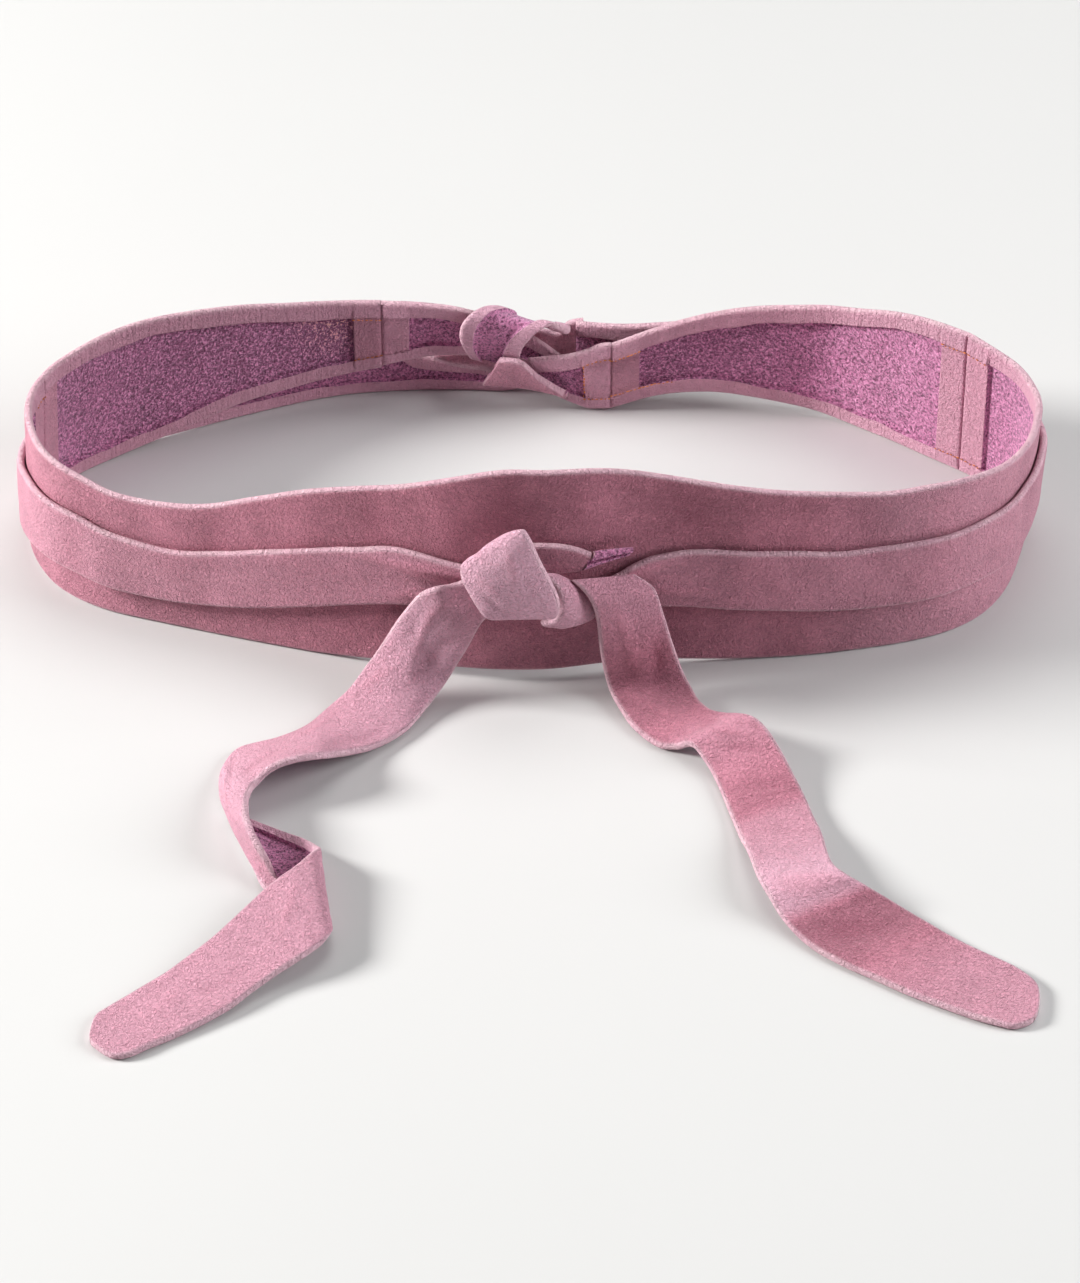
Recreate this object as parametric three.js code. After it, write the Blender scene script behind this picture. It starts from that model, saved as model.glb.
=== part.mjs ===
import * as THREE from 'three';

// Wrap belt in soft leather, tied into a loop and standing on its lower edge.
// Millimetres, +Z up. The wide panel faces -Y, the two tails lie on the ground before it.
// The tables are laid out round the middle of the loop; PLACE moves that point in the frame.

const PLACE = { x: 3.2, y: 82.48 };

// Driving dimensions.
const LEATHER = 1.2;          // one thickness of leather
const DOUBLED = 2.4;          // leather with its turned hem or seam allowance
const PANEL_HEM = 6;          // turned hem along the panel and the wings
const TIE_HEM = 5.6;          // turned hem along the ties
const ALLOWANCE = 9;          // pressed open seam allowance, lying on the inside
const HEM_STEP = 0.6;         // run of the step down from a hem to the single leather
const EDGE_ROUND = 0.5;       // rounding of a folded edge
const SEAM_GAP = 0.15;        // half the gap at a seam
const RING_STEP = 7;          // spacing of the sections round the loop
const ROW_PARTS = 2;          // sections from one row of a table to the next

// Round the loop, on the outer face at the ground, from the middle of the front to the right.
const PLAN = [
  { x: 0, y: -76.5 }, { x: 30, y: -70.5 }, { x: 60, y: -67.5 }, { x: 90, y: -63.5 },
  { x: 115, y: -57.5 }, { x: 131, y: -49 }, { x: 141.5, y: -36 }, { x: 148, y: -18 },
  { x: 151.5, y: 0 }, { x: 148, y: 14 }, { x: 137.5, y: 26 }, { x: 123.5, y: 37 },
  { x: 107.5, y: 49 }, { x: 90, y: 58.5 }, { x: 66, y: 61.5 }, { x: 40, y: 62 },
  { x: 16, y: 62.5 }, { x: -20, y: 67 }, { x: -50, y: 66.5 }, { x: -70, y: 63.5 },
  { x: -92, y: 56 }, { x: -115, y: 46 }, { x: -135, y: 36 }, { x: -150, y: 24 },
  { x: -157.5, y: 11 }, { x: -159, y: -4 }, { x: -155.5, y: -19 }, { x: -147, y: -33 },
  { x: -134, y: -42.5 }, { x: -115, y: -49.5 }, { x: -88, y: -58 }, { x: -60, y: -66 },
  { x: -30, y: -74 },
];

// Pieces that stand round the loop. at: distance round it from the middle of the front,
// to the right; foot, top: heights of the two edges; lean: outward slope of the wall.
const CENTRE_PANEL = [
  { at: -203, foot: 0.4, top: 49, lean: -0.06 },
  { at: -192, foot: 0.1, top: 49, lean: -0.04 },
  { at: -177, foot: 0.1, top: 49, lean: -0.03 },
  { at: -162, foot: 0.05, top: 50, lean: 0 },
  { at: -147, foot: 0, top: 49, lean: 0 },
  { at: -132, foot: 0, top: 46.2, lean: 0 },
  { at: -117, foot: 0, top: 46.3, lean: 0 },
  { at: -102, foot: 0, top: 48.8, lean: 0 },
  { at: -87, foot: 0, top: 55, lean: 0 },
  { at: -72, foot: 0, top: 61, lean: 0 },
  { at: -57, foot: 1, top: 65, lean: 0 },
  { at: -42, foot: 2.4, top: 68.8, lean: 0 },
  { at: -27, foot: 3.2, top: 73.8, lean: 0 },
  { at: -12, foot: 3.6, top: 77.8, lean: 0 },
  { at: 0, foot: 3.6, top: 78, lean: 0 },
  { at: 15, foot: 3.4, top: 76.6, lean: 0 },
  { at: 30, foot: 2.6, top: 73.2, lean: 0 },
  { at: 45, foot: 1.6, top: 69, lean: 0 },
  { at: 60, foot: 0.6, top: 65.2, lean: 0 },
  { at: 75, foot: 0, top: 62, lean: 0 },
  { at: 90, foot: 0, top: 60.2, lean: 0 },
  { at: 105, foot: 0, top: 58.3, lean: 0 },
  { at: 120, foot: 0, top: 58, lean: 0 },
  { at: 135, foot: 0, top: 56.2, lean: 0 },
  { at: 150, foot: 0.2, top: 53.5, lean: 0.03 },
  { at: 165, foot: 0.2, top: 52, lean: 0.06 },
  { at: 180, foot: 0.2, top: 51.6, lean: 0.05 },
  { at: 195, foot: 0.2, top: 51.2, lean: 0.01 },
  { at: 210, foot: 0, top: 51.4, lean: 0 },
  { at: 225, foot: 0, top: 52.6, lean: 0 },
];
const RIGHT_WING = [
  { at: 225, foot: 0, top: 52.6, lean: 0 },
  { at: 240, foot: 0, top: 51.6, lean: 0 },
  { at: 255, foot: 0, top: 48.4, lean: 0 },
  { at: 270, foot: 0.6, top: 44.4, lean: 0 },
  { at: 285, foot: 3, top: 41.8, lean: 0 },
  { at: 300, foot: 5.6, top: 40.4, lean: 0 },
  { at: 315, foot: 7.2, top: 37.4, lean: 0 },
  { at: 330, foot: 5.8, top: 32.6, lean: 0 },
  { at: 345.4, foot: 0.6, top: 26, lean: 0 },
];
const LEFT_WING = [
  { at: 419, foot: 13.6, top: 39.2, lean: 0 },
  { at: 435, foot: 11.4, top: 40.4, lean: 0 },
  { at: 450, foot: 9.6, top: 42.6, lean: 0 },
  { at: 465, foot: 8.2, top: 45.5, lean: 0 },
  { at: 480, foot: 5.2, top: 47.6, lean: 0 },
  { at: 495, foot: 2.4, top: 48.8, lean: 0 },
  { at: 510, foot: 0.5, top: 49, lean: -0.02 },
  { at: 525, foot: 0.2, top: 49, lean: -0.05 },
  { at: 543, foot: 0.4, top: 49, lean: -0.06 },
];
// The ties wound once more round the outside; out: how far they stand off the pieces under them.
const RIGHT_BAND = [
  { at: 9, foot: 29.2, top: 35.8, lean: 0, out: 3 },
  { at: 15, foot: 28, top: 37, lean: 0, out: 3 },
  { at: 22, foot: 26.8, top: 38.8, lean: 0, out: 3 },
  { at: 28, foot: 25.6, top: 41.6, lean: 0, out: 2.8 },
  { at: 34, foot: 24.7, top: 43.8, lean: 0, out: 2.8 },
  { at: 45, foot: 23.6, top: 44.8, lean: 0, out: 2.7 },
  { at: 60, foot: 21.4, top: 43.4, lean: 0, out: 2.7 },
  { at: 75, foot: 19.6, top: 41.6, lean: 0, out: 2.7 },
  { at: 90, foot: 18, top: 40, lean: 0, out: 2.7 },
  { at: 105, foot: 17.3, top: 39.9, lean: 0, out: 2.7 },
  { at: 120, foot: 17.4, top: 40, lean: 0, out: 2.7 },
  { at: 135, foot: 17.6, top: 40, lean: 0, out: 2.7 },
  { at: 150, foot: 16.8, top: 39.4, lean: 0.03, out: 2.7 },
  { at: 165, foot: 16, top: 38.8, lean: 0.06, out: 2.7 },
  { at: 180, foot: 15, top: 38.4, lean: 0.05, out: 2.7 },
  { at: 195, foot: 14, top: 38, lean: 0.01, out: 2.7 },
  { at: 225, foot: 12.6, top: 37, lean: 0, out: 2.8 },
  { at: 255, foot: 11.6, top: 36, lean: 0, out: 3 },
  { at: 285, foot: 9.6, top: 34.4, lean: 0, out: 4 },
  { at: 305, foot: 8, top: 32, lean: 0, out: 5.5 },
  { at: 322, foot: 6.4, top: 29.6, lean: 0, out: 7 },
  { at: 338, foot: 4.4, top: 28.2, lean: 0, out: 7.6 },
  { at: 357.4, foot: 4, top: 28, lean: 0, out: 8.2 },
];
const LEFT_BAND = [
  { at: 363, foot: 2, top: 11.4, lean: 0, out: 12 },
  { at: 369, foot: 1.2, top: 10.6, lean: 0, out: 10.4 },
  { at: 375, foot: 0.5, top: 9.6, lean: 0, out: 7.8 },
  { at: 381, foot: 0.2, top: 9.2, lean: 0, out: 5.8 },
  { at: 388, foot: 0.1, top: 11.2, lean: 0, out: 5.6 },
  { at: 398, foot: 0.1, top: 12.2, lean: 0, out: 5.6 },
  { at: 408, foot: 0.1, top: 14.6, lean: 0, out: 5.6 },
  { at: 416, foot: 0, top: 20, lean: 0, out: 5.5 },
  { at: 428, foot: 0, top: 24, lean: 0, out: 5.2 },
  { at: 445, foot: 0, top: 24.4, lean: 0, out: 4.4 },
  { at: 465, foot: 0.2, top: 24.6, lean: 0, out: 3.6 },
  { at: 490, foot: 0.6, top: 25, lean: 0, out: 2.8 },
  { at: 510, foot: 1, top: 25.2, lean: -0.02, out: 2.7 },
  { at: 525, foot: 1.8, top: 26, lean: -0.05, out: 2.7 },
  { at: 540, foot: 3.4, top: 27.6, lean: -0.06, out: 2.7 },
  { at: 555, foot: 6, top: 30, lean: -0.04, out: 2.7 },
  { at: 570, foot: 9, top: 33, lean: -0.03, out: 2.7 },
  { at: 585, foot: 12, top: 35, lean: 0, out: 2.7 },
  { at: 600, foot: 12.6, top: 35, lean: 0, out: 2.7 },
  { at: 615, foot: 11.2, top: 32.2, lean: 0, out: 2.7 },
  { at: 630, foot: 11.2, top: 31, lean: 0, out: 2.7 },
  { at: 645, foot: 12.6, top: 33.2, lean: 0, out: 2.7 },
  { at: 660, foot: 15.4, top: 37, lean: 0, out: 2.7 },
  { at: 675, foot: 19.2, top: 41, lean: 0, out: 2.7 },
  { at: 690, foot: 23.2, top: 44.6, lean: 0, out: 2.7 },
  { at: 705, foot: 26.6, top: 47.2, lean: 0, out: 2.7 },
  { at: 720, foot: 27.6, top: 44.8, lean: 0, out: 2.7 },
  { at: 729, foot: 28.4, top: 43, lean: 0, out: 2.7 },
];

// Stretches of the ties in the two knots and on the ground: a row per fold or bend.
// from, to: the two edges of the strip at that row; bow: how far its middle stands out.

// From the left wing into the crossing at the back: lower edge, upper edge.
const LEFT_TIE_START = [
  { from: [-50.45, 66.5, 14.2], to: [-50.4, 66.45, 39.2], bow: 0 },
  { from: [-43.3, 67.5, 15.7], to: [-42.8, 66.3, 39], bow: 0 },
  { from: [-35.3, 68.5, 16.6], to: [-34.9, 66.3, 38.4], bow: 0 },
  { from: [-28.2, 69, 17], to: [-27.9, 66.3, 37.3], bow: 0 },
  { from: [-20.8, 69.4, 16.3], to: [-20.7, 66.6, 35.1], bow: 0 },
  { from: [-13.5, 70, 13.9], to: [-13.4, 67.6, 31.7], bow: 0 },
  { from: [-5.8, 70.8, 10.6], to: [-6.4, 69, 26.8], bow: 0 },
  { from: [1.6, 71.3, 7], to: [0, 70.2, 21.3], bow: 0 },
  { from: [7.4, 71.6, 3.6], to: [6.4, 71, 15.2], bow: 0 },
];

// From the right wing into the crossing: lower edge, upper edge.
const RIGHT_TIE_START = [
  { from: [22.5, 59.6, 0.7], to: [22.5, 59.65, 26], bow: 0 },
  { from: [19.3, 59.5, 0.5], to: [19.1, 59.6, 25.7], bow: 0 },
  { from: [15.4, 59.6, 0.5], to: [14.3, 59.7, 23.3], bow: 0 },
  { from: [11.9, 60.2, 1.6], to: [8, 60, 21.1], bow: 0 },
  { from: [8.4, 61, 2.8], to: [1.6, 60.8, 19.7], bow: 0 },
  { from: [4.8, 61.8, 4.4], to: [-4.1, 61.4, 18.5], bow: 0 },
];

// The same tie turned over at the foot of the crossing: lower edge, upper edge.
const RIGHT_TIE_FLAP = [
  { from: [8.6, 57.9, 5.9], to: [6.9, 57.1, 8], bow: 0 },
  { from: [4.6, 58.8, 6.4], to: [2.6, 56.9, 11.8], bow: 0.2 },
  { from: [0.3, 59.4, 7.2], to: [-2, 57.2, 15.6], bow: 0.4 },
  { from: [-4.8, 59.6, 8.2], to: [-6, 57.4, 20.2], bow: 0.5 },
  { from: [-10.9, 59.6, 8.8], to: [-9.6, 57.6, 21.2], bow: 0.4 },
  { from: [-18.4, 59.6, 9.4], to: [-12.6, 58, 21], bow: 0 },
];

// Then up and over the left tie: left edge, right edge.
const RIGHT_TIE_WRAP = [
  { from: [-23, 63.8, 18], to: [-7, 63.6, 12.2], bow: 0 },
  { from: [-25.2, 61.4, 24.2], to: [-7, 61.2, 17.2], bow: 0 },
  { from: [-25.7, 59.6, 28.8], to: [-5.6, 59.4, 23.8], bow: 0.3 },
  { from: [-25, 58.8, 33.3], to: [-2.4, 58.6, 29.4], bow: 0.5 },
  { from: [-23.4, 59.4, 36.3], to: [0.9, 59, 32.6], bow: 0.5 },
  { from: [-20.6, 61.8, 38.5], to: [4.4, 61, 33.6], bow: 0.4 },
  { from: [-16.5, 65.4, 37.9], to: [7.6, 64, 31], bow: 0.2 },
  { from: [-12.7, 68.6, 34.9], to: [9.8, 67.2, 27.2], bow: 0 },
  { from: [-11.6, 71.6, 31], to: [10, 70.4, 26.4], bow: 0 },
];

// Its rolled edge where it leaves under the left tie: lower edge, upper edge.
const RIGHT_TIE_TURN = [
  { from: [-11.9, 65.6, 11.6], to: [-12.2, 69.2, 12.7], bow: 0 },
  { from: [-16.7, 65.2, 12.8], to: [-17.3, 69.2, 14.5], bow: 0.2 },
  { from: [-23.1, 65.2, 13.4], to: [-23.1, 69.2, 16], bow: 0.3 },
  { from: [-28.9, 66.2, 13.9], to: [-28.9, 69.4, 16.3], bow: 0.2 },
  { from: [-34, 68, 15.4], to: [-34, 69.6, 16], bow: 0 },
];

// The left tie turned over behind the crossing: lower edge, upper edge.
const LEFT_TIE_TURN = [
  { from: [-4.6, 71.3, 17.4], to: [-3.8, 71, 24.4], bow: 0 },
  { from: [0.3, 71.3, 15.8], to: [1.6, 71.6, 23], bow: 0 },
  { from: [5.5, 71.5, 14.1], to: [6.1, 72, 21.9], bow: 0.3 },
  { from: [9.6, 72, 9.8], to: [9.3, 72.8, 25.2], bow: 0.3 },
  { from: [14, 72.7, 5.4], to: [14, 73.4, 26], bow: 0 },
];

// Face of the front knot: left edge, right edge, downward.
const KNOT_FACE = [
  { from: [-19.3, -82.4, 46], to: [-9.4, -82.4, 52.7], bow: 0 },
  { from: [-21.6, -84.6, 50.7], to: [-8.4, -85, 61.3], bow: 0.6 },
  { from: [-23.5, -88, 52.2], to: [-5.8, -88.5, 66.8], bow: 1.4 },
  { from: [-23.1, -89.5, 48.2], to: [-2.9, -90.5, 63.8], bow: 2.2 },
  { from: [-21, -90.5, 43.8], to: [0, -91, 56.4], bow: 2.4 },
  { from: [-18.7, -91, 39.3], to: [2.9, -91.5, 49.8], bow: 2 },
  { from: [-16.7, -91, 35.6], to: [5.3, -91.5, 43.5], bow: 1.4 },
  { from: [-15, -90, 33.7], to: [5.9, -90.4, 37.7], bow: 0.8 },
  { from: [-13.8, -87.4, 32.3], to: [5, -87.8, 32.6], bow: 0.3 },
];

// Curled strip beside the face: left edge, right edge, downward.
const KNOT_LOOP = [
  { from: [0.3, -83.4, 46.4], to: [6.5, -80.8, 43.6], bow: 0.4 },
  { from: [2.9, -85.6, 45.9], to: [9.4, -80.8, 41.5], bow: 0.8 },
  { from: [5.3, -86.8, 43.1], to: [12.7, -80.8, 38], bow: 1 },
  { from: [6.3, -87.2, 38.6], to: [15.3, -80.8, 33.5], bow: 1 },
  { from: [6, -87, 33.5], to: [16.9, -80.8, 28.2], bow: 0.8 },
  { from: [3.5, -86.2, 29.5], to: [13.3, -82.4, 26.4], bow: 0.5 },
  { from: [0.3, -85.2, 27.9], to: [7.7, -83.2, 25], bow: 0.2 },
];

// Strip that runs in behind the face: lower edge, upper edge.
const KNOT_UNDER = [
  { from: [11.8, -78.7, 42.7], to: [15.3, -78.5, 49.1], bow: 0 },
  { from: [7.6, -79.1, 42.3], to: [11.4, -78.9, 51.2], bow: 0 },
  { from: [2.4, -79.3, 42], to: [5.9, -79.1, 52.7], bow: 0 },
  { from: [-3.5, -79.5, 41.8], to: [-1.2, -79.3, 53.2], bow: 0 },
  { from: [-9.4, -79.6, 41.9], to: [-8.2, -79.5, 53], bow: 0 },
];

// Inside of the band where it turns over: lower edge, upper edge.
const KNOT_FOLD = [
  { from: [12.6, -79, 43.3], to: [16.4, -78.8, 49.5], bow: 0 },
  { from: [18.5, -78, 45.1], to: [21.4, -77.8, 49.6], bow: 0 },
  { from: [25.9, -77, 47.5], to: [27.6, -76.8, 49.4], bow: 0 },
];

// Left tail from the knot to its bend: far edge, near edge.
const LEFT_TAIL = [
  { from: [-19.4, -81.1, 42.7], to: [-12.1, -82.6, 31.1], bow: 0 },
  { from: [-24.7, -81.6, 40.9], to: [-16.5, -84, 28.5], bow: 0.4 },
  { from: [-30.2, -85, 41.7], to: [-20.4, -85.5, 21.3], bow: 0.6 },
  { from: [-35.9, -84, 37.9], to: [-24.6, -85.4, 12.8], bow: 0.6 },
  { from: [-41.4, -82, 28.4], to: [-28.6, -86, 5.2], bow: 0.6 },
  { from: [-46.6, -80, 18], to: [-33.8, -93.8, 3.2], bow: 0.6 },
  { from: [-51.8, -82, 10.8], to: [-39.9, -103, 2.8], bow: 0.6 },
  { from: [-56.5, -87, 6.8], to: [-47.7, -110.4, 3.6], bow: 0.6 },
  { from: [-62.4, -90.7, 2.6], to: [-57, -117.9, 7.3], bow: 0.8 },
  { from: [-69.3, -99.8, 2.4], to: [-64.5, -125.4, 12.9], bow: 0.8 },
  { from: [-76.2, -104.6, 2.2], to: [-71.9, -129.3, 14.7], bow: 0.8 },
  { from: [-83.1, -107.3, 2.2], to: [-78.1, -132.4, 13.9], bow: 0.8 },
  { from: [-89.5, -110.5, 2.2], to: [-82.4, -135.9, 11.6], bow: 0.8 },
  { from: [-93.2, -118.2, 2.2], to: [-84.4, -142.5, 13.1], bow: 0.8 },
  { from: [-94, -125.9, 2.2], to: [-85.1, -149.6, 14.3], bow: 0.8 },
  { from: [-93, -133.9, 2.2], to: [-84.8, -156.6, 14.3], bow: 0.8 },
  { from: [-89.9, -144.3, 2.4], to: [-82.6, -162.4, 12.5], bow: 0.8 },
  { from: [-86.5, -154.2, 2.6], to: [-79.7, -166.3, 9.5], bow: 0.4 },
  { from: [-82.9, -164.1, 3.4], to: [-77.1, -168.5, 6.5], bow: 0 },
  { from: [-80, -171, 3.8], to: [-74.9, -170.2, 4.6], bow: 0 },
  { from: [-76.6, -176.5, 3.6], to: [-72, -173.6, 4.4], bow: 0 },
];

// Left tail past the bend, folded back over itself: far edge, near edge.
const LEFT_TAIL_END = [
  { from: [-85.2, -141.2, 0.1], to: [-72.9, -172, 0.1], bow: 0 },
  { from: [-79.2, -144.5, 0.3], to: [-69.4, -176.2, 0.1], bow: 0 },
  { from: [-72.1, -149.3, 1.4], to: [-65.5, -180.3, 0.3], bow: 0 },
  { from: [-66.7, -153.3, 3], to: [-61.7, -184.6, 0.8], bow: 0 },
  { from: [-63.6, -157.3, 5.4], to: [-58.9, -189.7, 2.4], bow: 0 },
  { from: [-62.8, -161.8, 8.6], to: [-58.1, -194.1, 5.2], bow: 0 },
  { from: [-65.1, -166.3, 11], to: [-59.3, -198.3, 7.2], bow: 0.2 },
  { from: [-69.2, -171.6, 11.2], to: [-63.4, -203.1, 7.4], bow: 0.4 },
  { from: [-74.2, -176.1, 10.2], to: [-68.5, -207.2, 6.6], bow: 0.4 },
  { from: [-78.6, -180, 8.8], to: [-73.7, -210.8, 5.4], bow: 0.4 },
  { from: [-83.4, -185.7, 7.5], to: [-78.9, -215.2, 4.2], bow: 0.4 },
  { from: [-90.4, -194.1, 6], to: [-85.2, -221.6, 3.4], bow: 0.3 },
  { from: [-97.4, -201.3, 4.6], to: [-91.6, -226.6, 2.8], bow: 0.3 },
  { from: [-104.8, -208.4, 3.6], to: [-98.6, -231.5, 2.5], bow: 0.2 },
  { from: [-112.3, -214.7, 3], to: [-105.7, -235.9, 2.5], bow: 0.2 },
  { from: [-119.1, -220.4, 2.6], to: [-112.6, -240.2, 2.5], bow: 0.1 },
  { from: [-123.3, -224.7, 2.5], to: [-117.8, -240.6, 2.5], bow: 0 },
  { from: [-125.1, -229.9, 2.5], to: [-122.3, -238.2, 2.5], bow: 0 },
];

// Right tail from the knot to the tip: left edge, right edge.
const RIGHT_TAIL = [
  { from: [9.7, -83.4, 43.8], to: [28.3, -76.4, 40.5], bow: 0 },
  { from: [14.1, -85, 39.1], to: [34, -76.6, 35.4], bow: 0.4 },
  { from: [16.8, -85, 30.8], to: [36.7, -78.6, 27.9], bow: 0.5 },
  { from: [18.1, -85.5, 17.1], to: [39.5, -81, 18.1], bow: 0.5 },
  { from: [20.2, -86, 6], to: [42.3, -81.7, 9], bow: 0.5 },
  { from: [22.6, -90.6, 3.6], to: [45.6, -86.2, 5], bow: 0.5 },
  { from: [27.2, -100.2, 2.8], to: [47.5, -90.8, 4.6], bow: 0.5 },
  { from: [33.9, -108.3, 2.6], to: [50.9, -96, 5.4], bow: 0.5 },
  { from: [38.8, -110.5, 3.4], to: [54.9, -100.5, 8], bow: 0.5 },
  { from: [42, -112, 5.8], to: [58.8, -104.4, 11], bow: 0.5 },
  { from: [44.3, -114, 6.6], to: [62.2, -107.6, 12.6], bow: 0.4 },
  { from: [47.2, -117.5, 5], to: [66, -111.4, 11.6], bow: 0.4 },
  { from: [51.1, -125.2, 2.9], to: [70.7, -118.6, 8.2], bow: 0.4 },
  { from: [55.4, -142, 3], to: [76.2, -131.4, 4.6], bow: 0.2 },
  { from: [57.4, -152, 4.6], to: [79, -142, 4.4], bow: 0.2 },
  { from: [59.2, -160.5, 7], to: [81, -152.1, 6.5], bow: 0.2 },
  { from: [61.6, -173.3, 8.5], to: [82.8, -167.6, 9.5], bow: 0.2 },
  { from: [64.4, -180.7, 7.5], to: [86.4, -174.1, 10], bow: 0.2 },
  { from: [68.8, -187.9, 4.5], to: [92.9, -176.9, 7.5], bow: 0.2 },
  { from: [75.3, -195.8, 3], to: [100.2, -179.9, 4.5], bow: 0.2 },
  { from: [83.4, -202.8, 2.6], to: [107.9, -185.6, 3.2], bow: 0.2 },
  { from: [92.6, -208.9, 2.5], to: [114.9, -191.3, 2.7], bow: 0.2 },
  { from: [102.2, -215.4, 2.5], to: [121.6, -196.5, 2.5], bow: 0.2 },
  { from: [112.2, -221.1, 2.5], to: [128.3, -201.1, 2.5], bow: 0.1 },
  { from: [121.5, -225.9, 2.5], to: [134.1, -205.6, 2.5], bow: 0 },
  { from: [128.8, -228.7, 2.5], to: [138.4, -211.3, 2.5], bow: 0 },
  { from: [133.3, -230.3, 2.5], to: [139.9, -220.2, 2.5], bow: 0 },
];

// Smooth curve from p0 to p1 with the slopes m0 and m1.
const hermite = (p0, p1, m0, m1, f) => {
  const f2 = f * f;
  const f3 = f2 * f;
  return (2 * f3 - 3 * f2 + 1) * p0 + (f3 - 2 * f2 + f) * m0 + (3 * f2 - 2 * f3) * p1 + (f3 - f2) * m1;
};

// Smooth value of one column of a table at a distance round the loop.
function column(rows, name, at) {
  const last = rows.length - 1;
  let k = 0;
  while (k < last - 1 && at > rows[k + 1].at) k += 1;
  const span = rows[k + 1].at - rows[k].at;
  const slope = (i) => {
    const a = rows[Math.max(i - 1, 0)];
    const b = rows[Math.min(i + 1, last)];
    return (b[name] - a[name]) / (b.at - a.at);
  };
  const f = Math.min(Math.max((at - rows[k].at) / span, 0), 1);
  return hermite(rows[k][name], rows[k + 1][name], slope(k) * span, slope(k + 1) * span, f);
}

// Point of a smooth line through points, at step k and fraction f of it.
function between(points, k, f, closed = false) {
  const count = points.length;
  const pick = (i) => points[closed ? (i + count) % count : Math.min(Math.max(i, 0), count - 1)];
  const [a, b, c, d] = [pick(k - 1), pick(k), pick(k + 1), pick(k + 2)];
  return b.map((v, j) => hermite(v, c[j], (c[j] - a[j]) / 2, (d[j] - v) / 2, f));
}

const PLAN_PARTS = 24;
const ring = [];
{
  const points = PLAN.map((row) => [row.x, row.y]);
  let run = 0;
  for (let k = 0; k < points.length; k += 1) {
    for (let i = 0; i < PLAN_PARTS; i += 1) {
      const [x, y] = between(points, k, i / PLAN_PARTS, true);
      if (ring.length) run += Math.hypot(x - ring[ring.length - 1].x, y - ring[ring.length - 1].y);
      ring.push({ run, x, y });
    }
  }
  run += Math.hypot(ring[0].x - ring[ring.length - 1].x, ring[0].y - ring[ring.length - 1].y);
  ring.push({ run, x: ring[0].x, y: ring[0].y });
}
const AROUND = ring[ring.length - 1].run;

// Point of the loop on the ground at a distance round it, with the outward direction there.
function around(at) {
  const run = ((at % AROUND) + AROUND) % AROUND;
  const place = (r) => {
    const w = ((r % AROUND) + AROUND) % AROUND;
    let k = 0;
    while (k < ring.length - 2 && ring[k + 1].run < w) k += 1;
    const f = (w - ring[k].run) / (ring[k + 1].run - ring[k].run);
    return [ring[k].x + f * (ring[k + 1].x - ring[k].x), ring[k].y + f * (ring[k + 1].y - ring[k].y)];
  };
  const [x, y] = place(run);
  const [ax, ay] = place(run - 2);
  const [bx, by] = place(run + 2);
  const length = Math.hypot(bx - ax, by - ay);
  return { x, y, nx: (by - ay) / length, ny: -(bx - ax) / length };
}

// Section across a strip. s: distance from the first edge; d: depth behind the grain face.
function section(width, hem, full) {
  const fold = Math.min(hem, width * 0.36);
  const single = full ? DOUBLED : LEATHER;
  return [
    [0, DOUBLED * 0.25], [EDGE_ROUND, 0], [width * 0.27, 0], [width * 0.5, 0], [width * 0.73, 0],
    [width - EDGE_ROUND, 0], [width, DOUBLED * 0.25], [width, DOUBLED * 0.75],
    [width - EDGE_ROUND, DOUBLED], [width - fold, DOUBLED], [width - fold - HEM_STEP, single],
    [width * 0.5, single], [fold + HEM_STEP, single], [fold, DOUBLED],
    [EDGE_ROUND, DOUBLED], [0, DOUBLED * 0.75],
  ];
}

// Closed body lofted through stations { from, to, out, bow, full }: the two edges on the
// grain face, the direction the grain faces, the bow of the middle and whether it is doubled.
function strip(stations, hem) {
  const positions = [];
  const indices = [];
  const rings = stations.map((st) => {
    const from = new THREE.Vector3(...st.from);
    const across = new THREE.Vector3(...st.to).sub(from);
    const width = across.length();
    across.divideScalar(width);
    const grain = st.out.clone().addScaledVector(across, -st.out.dot(across)).normalize();
    return section(width, hem, st.full).map(([s, d]) => {
      const f = s / width;
      const lift = 4 * st.bow * f * (1 - f);
      const p = from.clone().addScaledVector(across, s).addScaledVector(grain, lift - d);
      positions.push(p.x + PLACE.x, p.y + PLACE.y, p.z);
      return positions.length / 3 - 1;
    });
  });
  const count = rings[0].length;
  for (let i = 0; i + 1 < rings.length; i += 1) {
    for (let j = 0; j < count; j += 1) {
      const k = (j + 1) % count;
      indices.push(rings[i][j], rings[i + 1][j], rings[i + 1][k]);
      indices.push(rings[i][j], rings[i + 1][k], rings[i][k]);
    }
  }
  // Ends: the section is cut into quads from the grain side to the inside.
  const pairs = [[0, 15], [1, 14], [2, 13], [2, 12], [3, 11], [4, 10], [4, 9], [5, 8], [6, 7]];
  const close = (ids, flip) => {
    const face = (a, b, c) => {
      if (a === b || b === c || a === c) return;
      indices.push(ids[a], ids[flip ? c : b], ids[flip ? b : c]);
    };
    for (let i = 0; i + 1 < pairs.length; i += 1) {
      const [a, b] = pairs[i];
      const [c, d] = pairs[i + 1];
      face(a, c, d);
      face(a, d, b);
    }
  };
  close(rings[0], false);
  close(rings[rings.length - 1], true);
  const geometry = new THREE.BufferGeometry();
  geometry.setAttribute('position', new THREE.Float32BufferAttribute(positions, 3));
  geometry.setIndex(indices);
  geometry.computeVertexNormals();
  return geometry;
}

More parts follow.
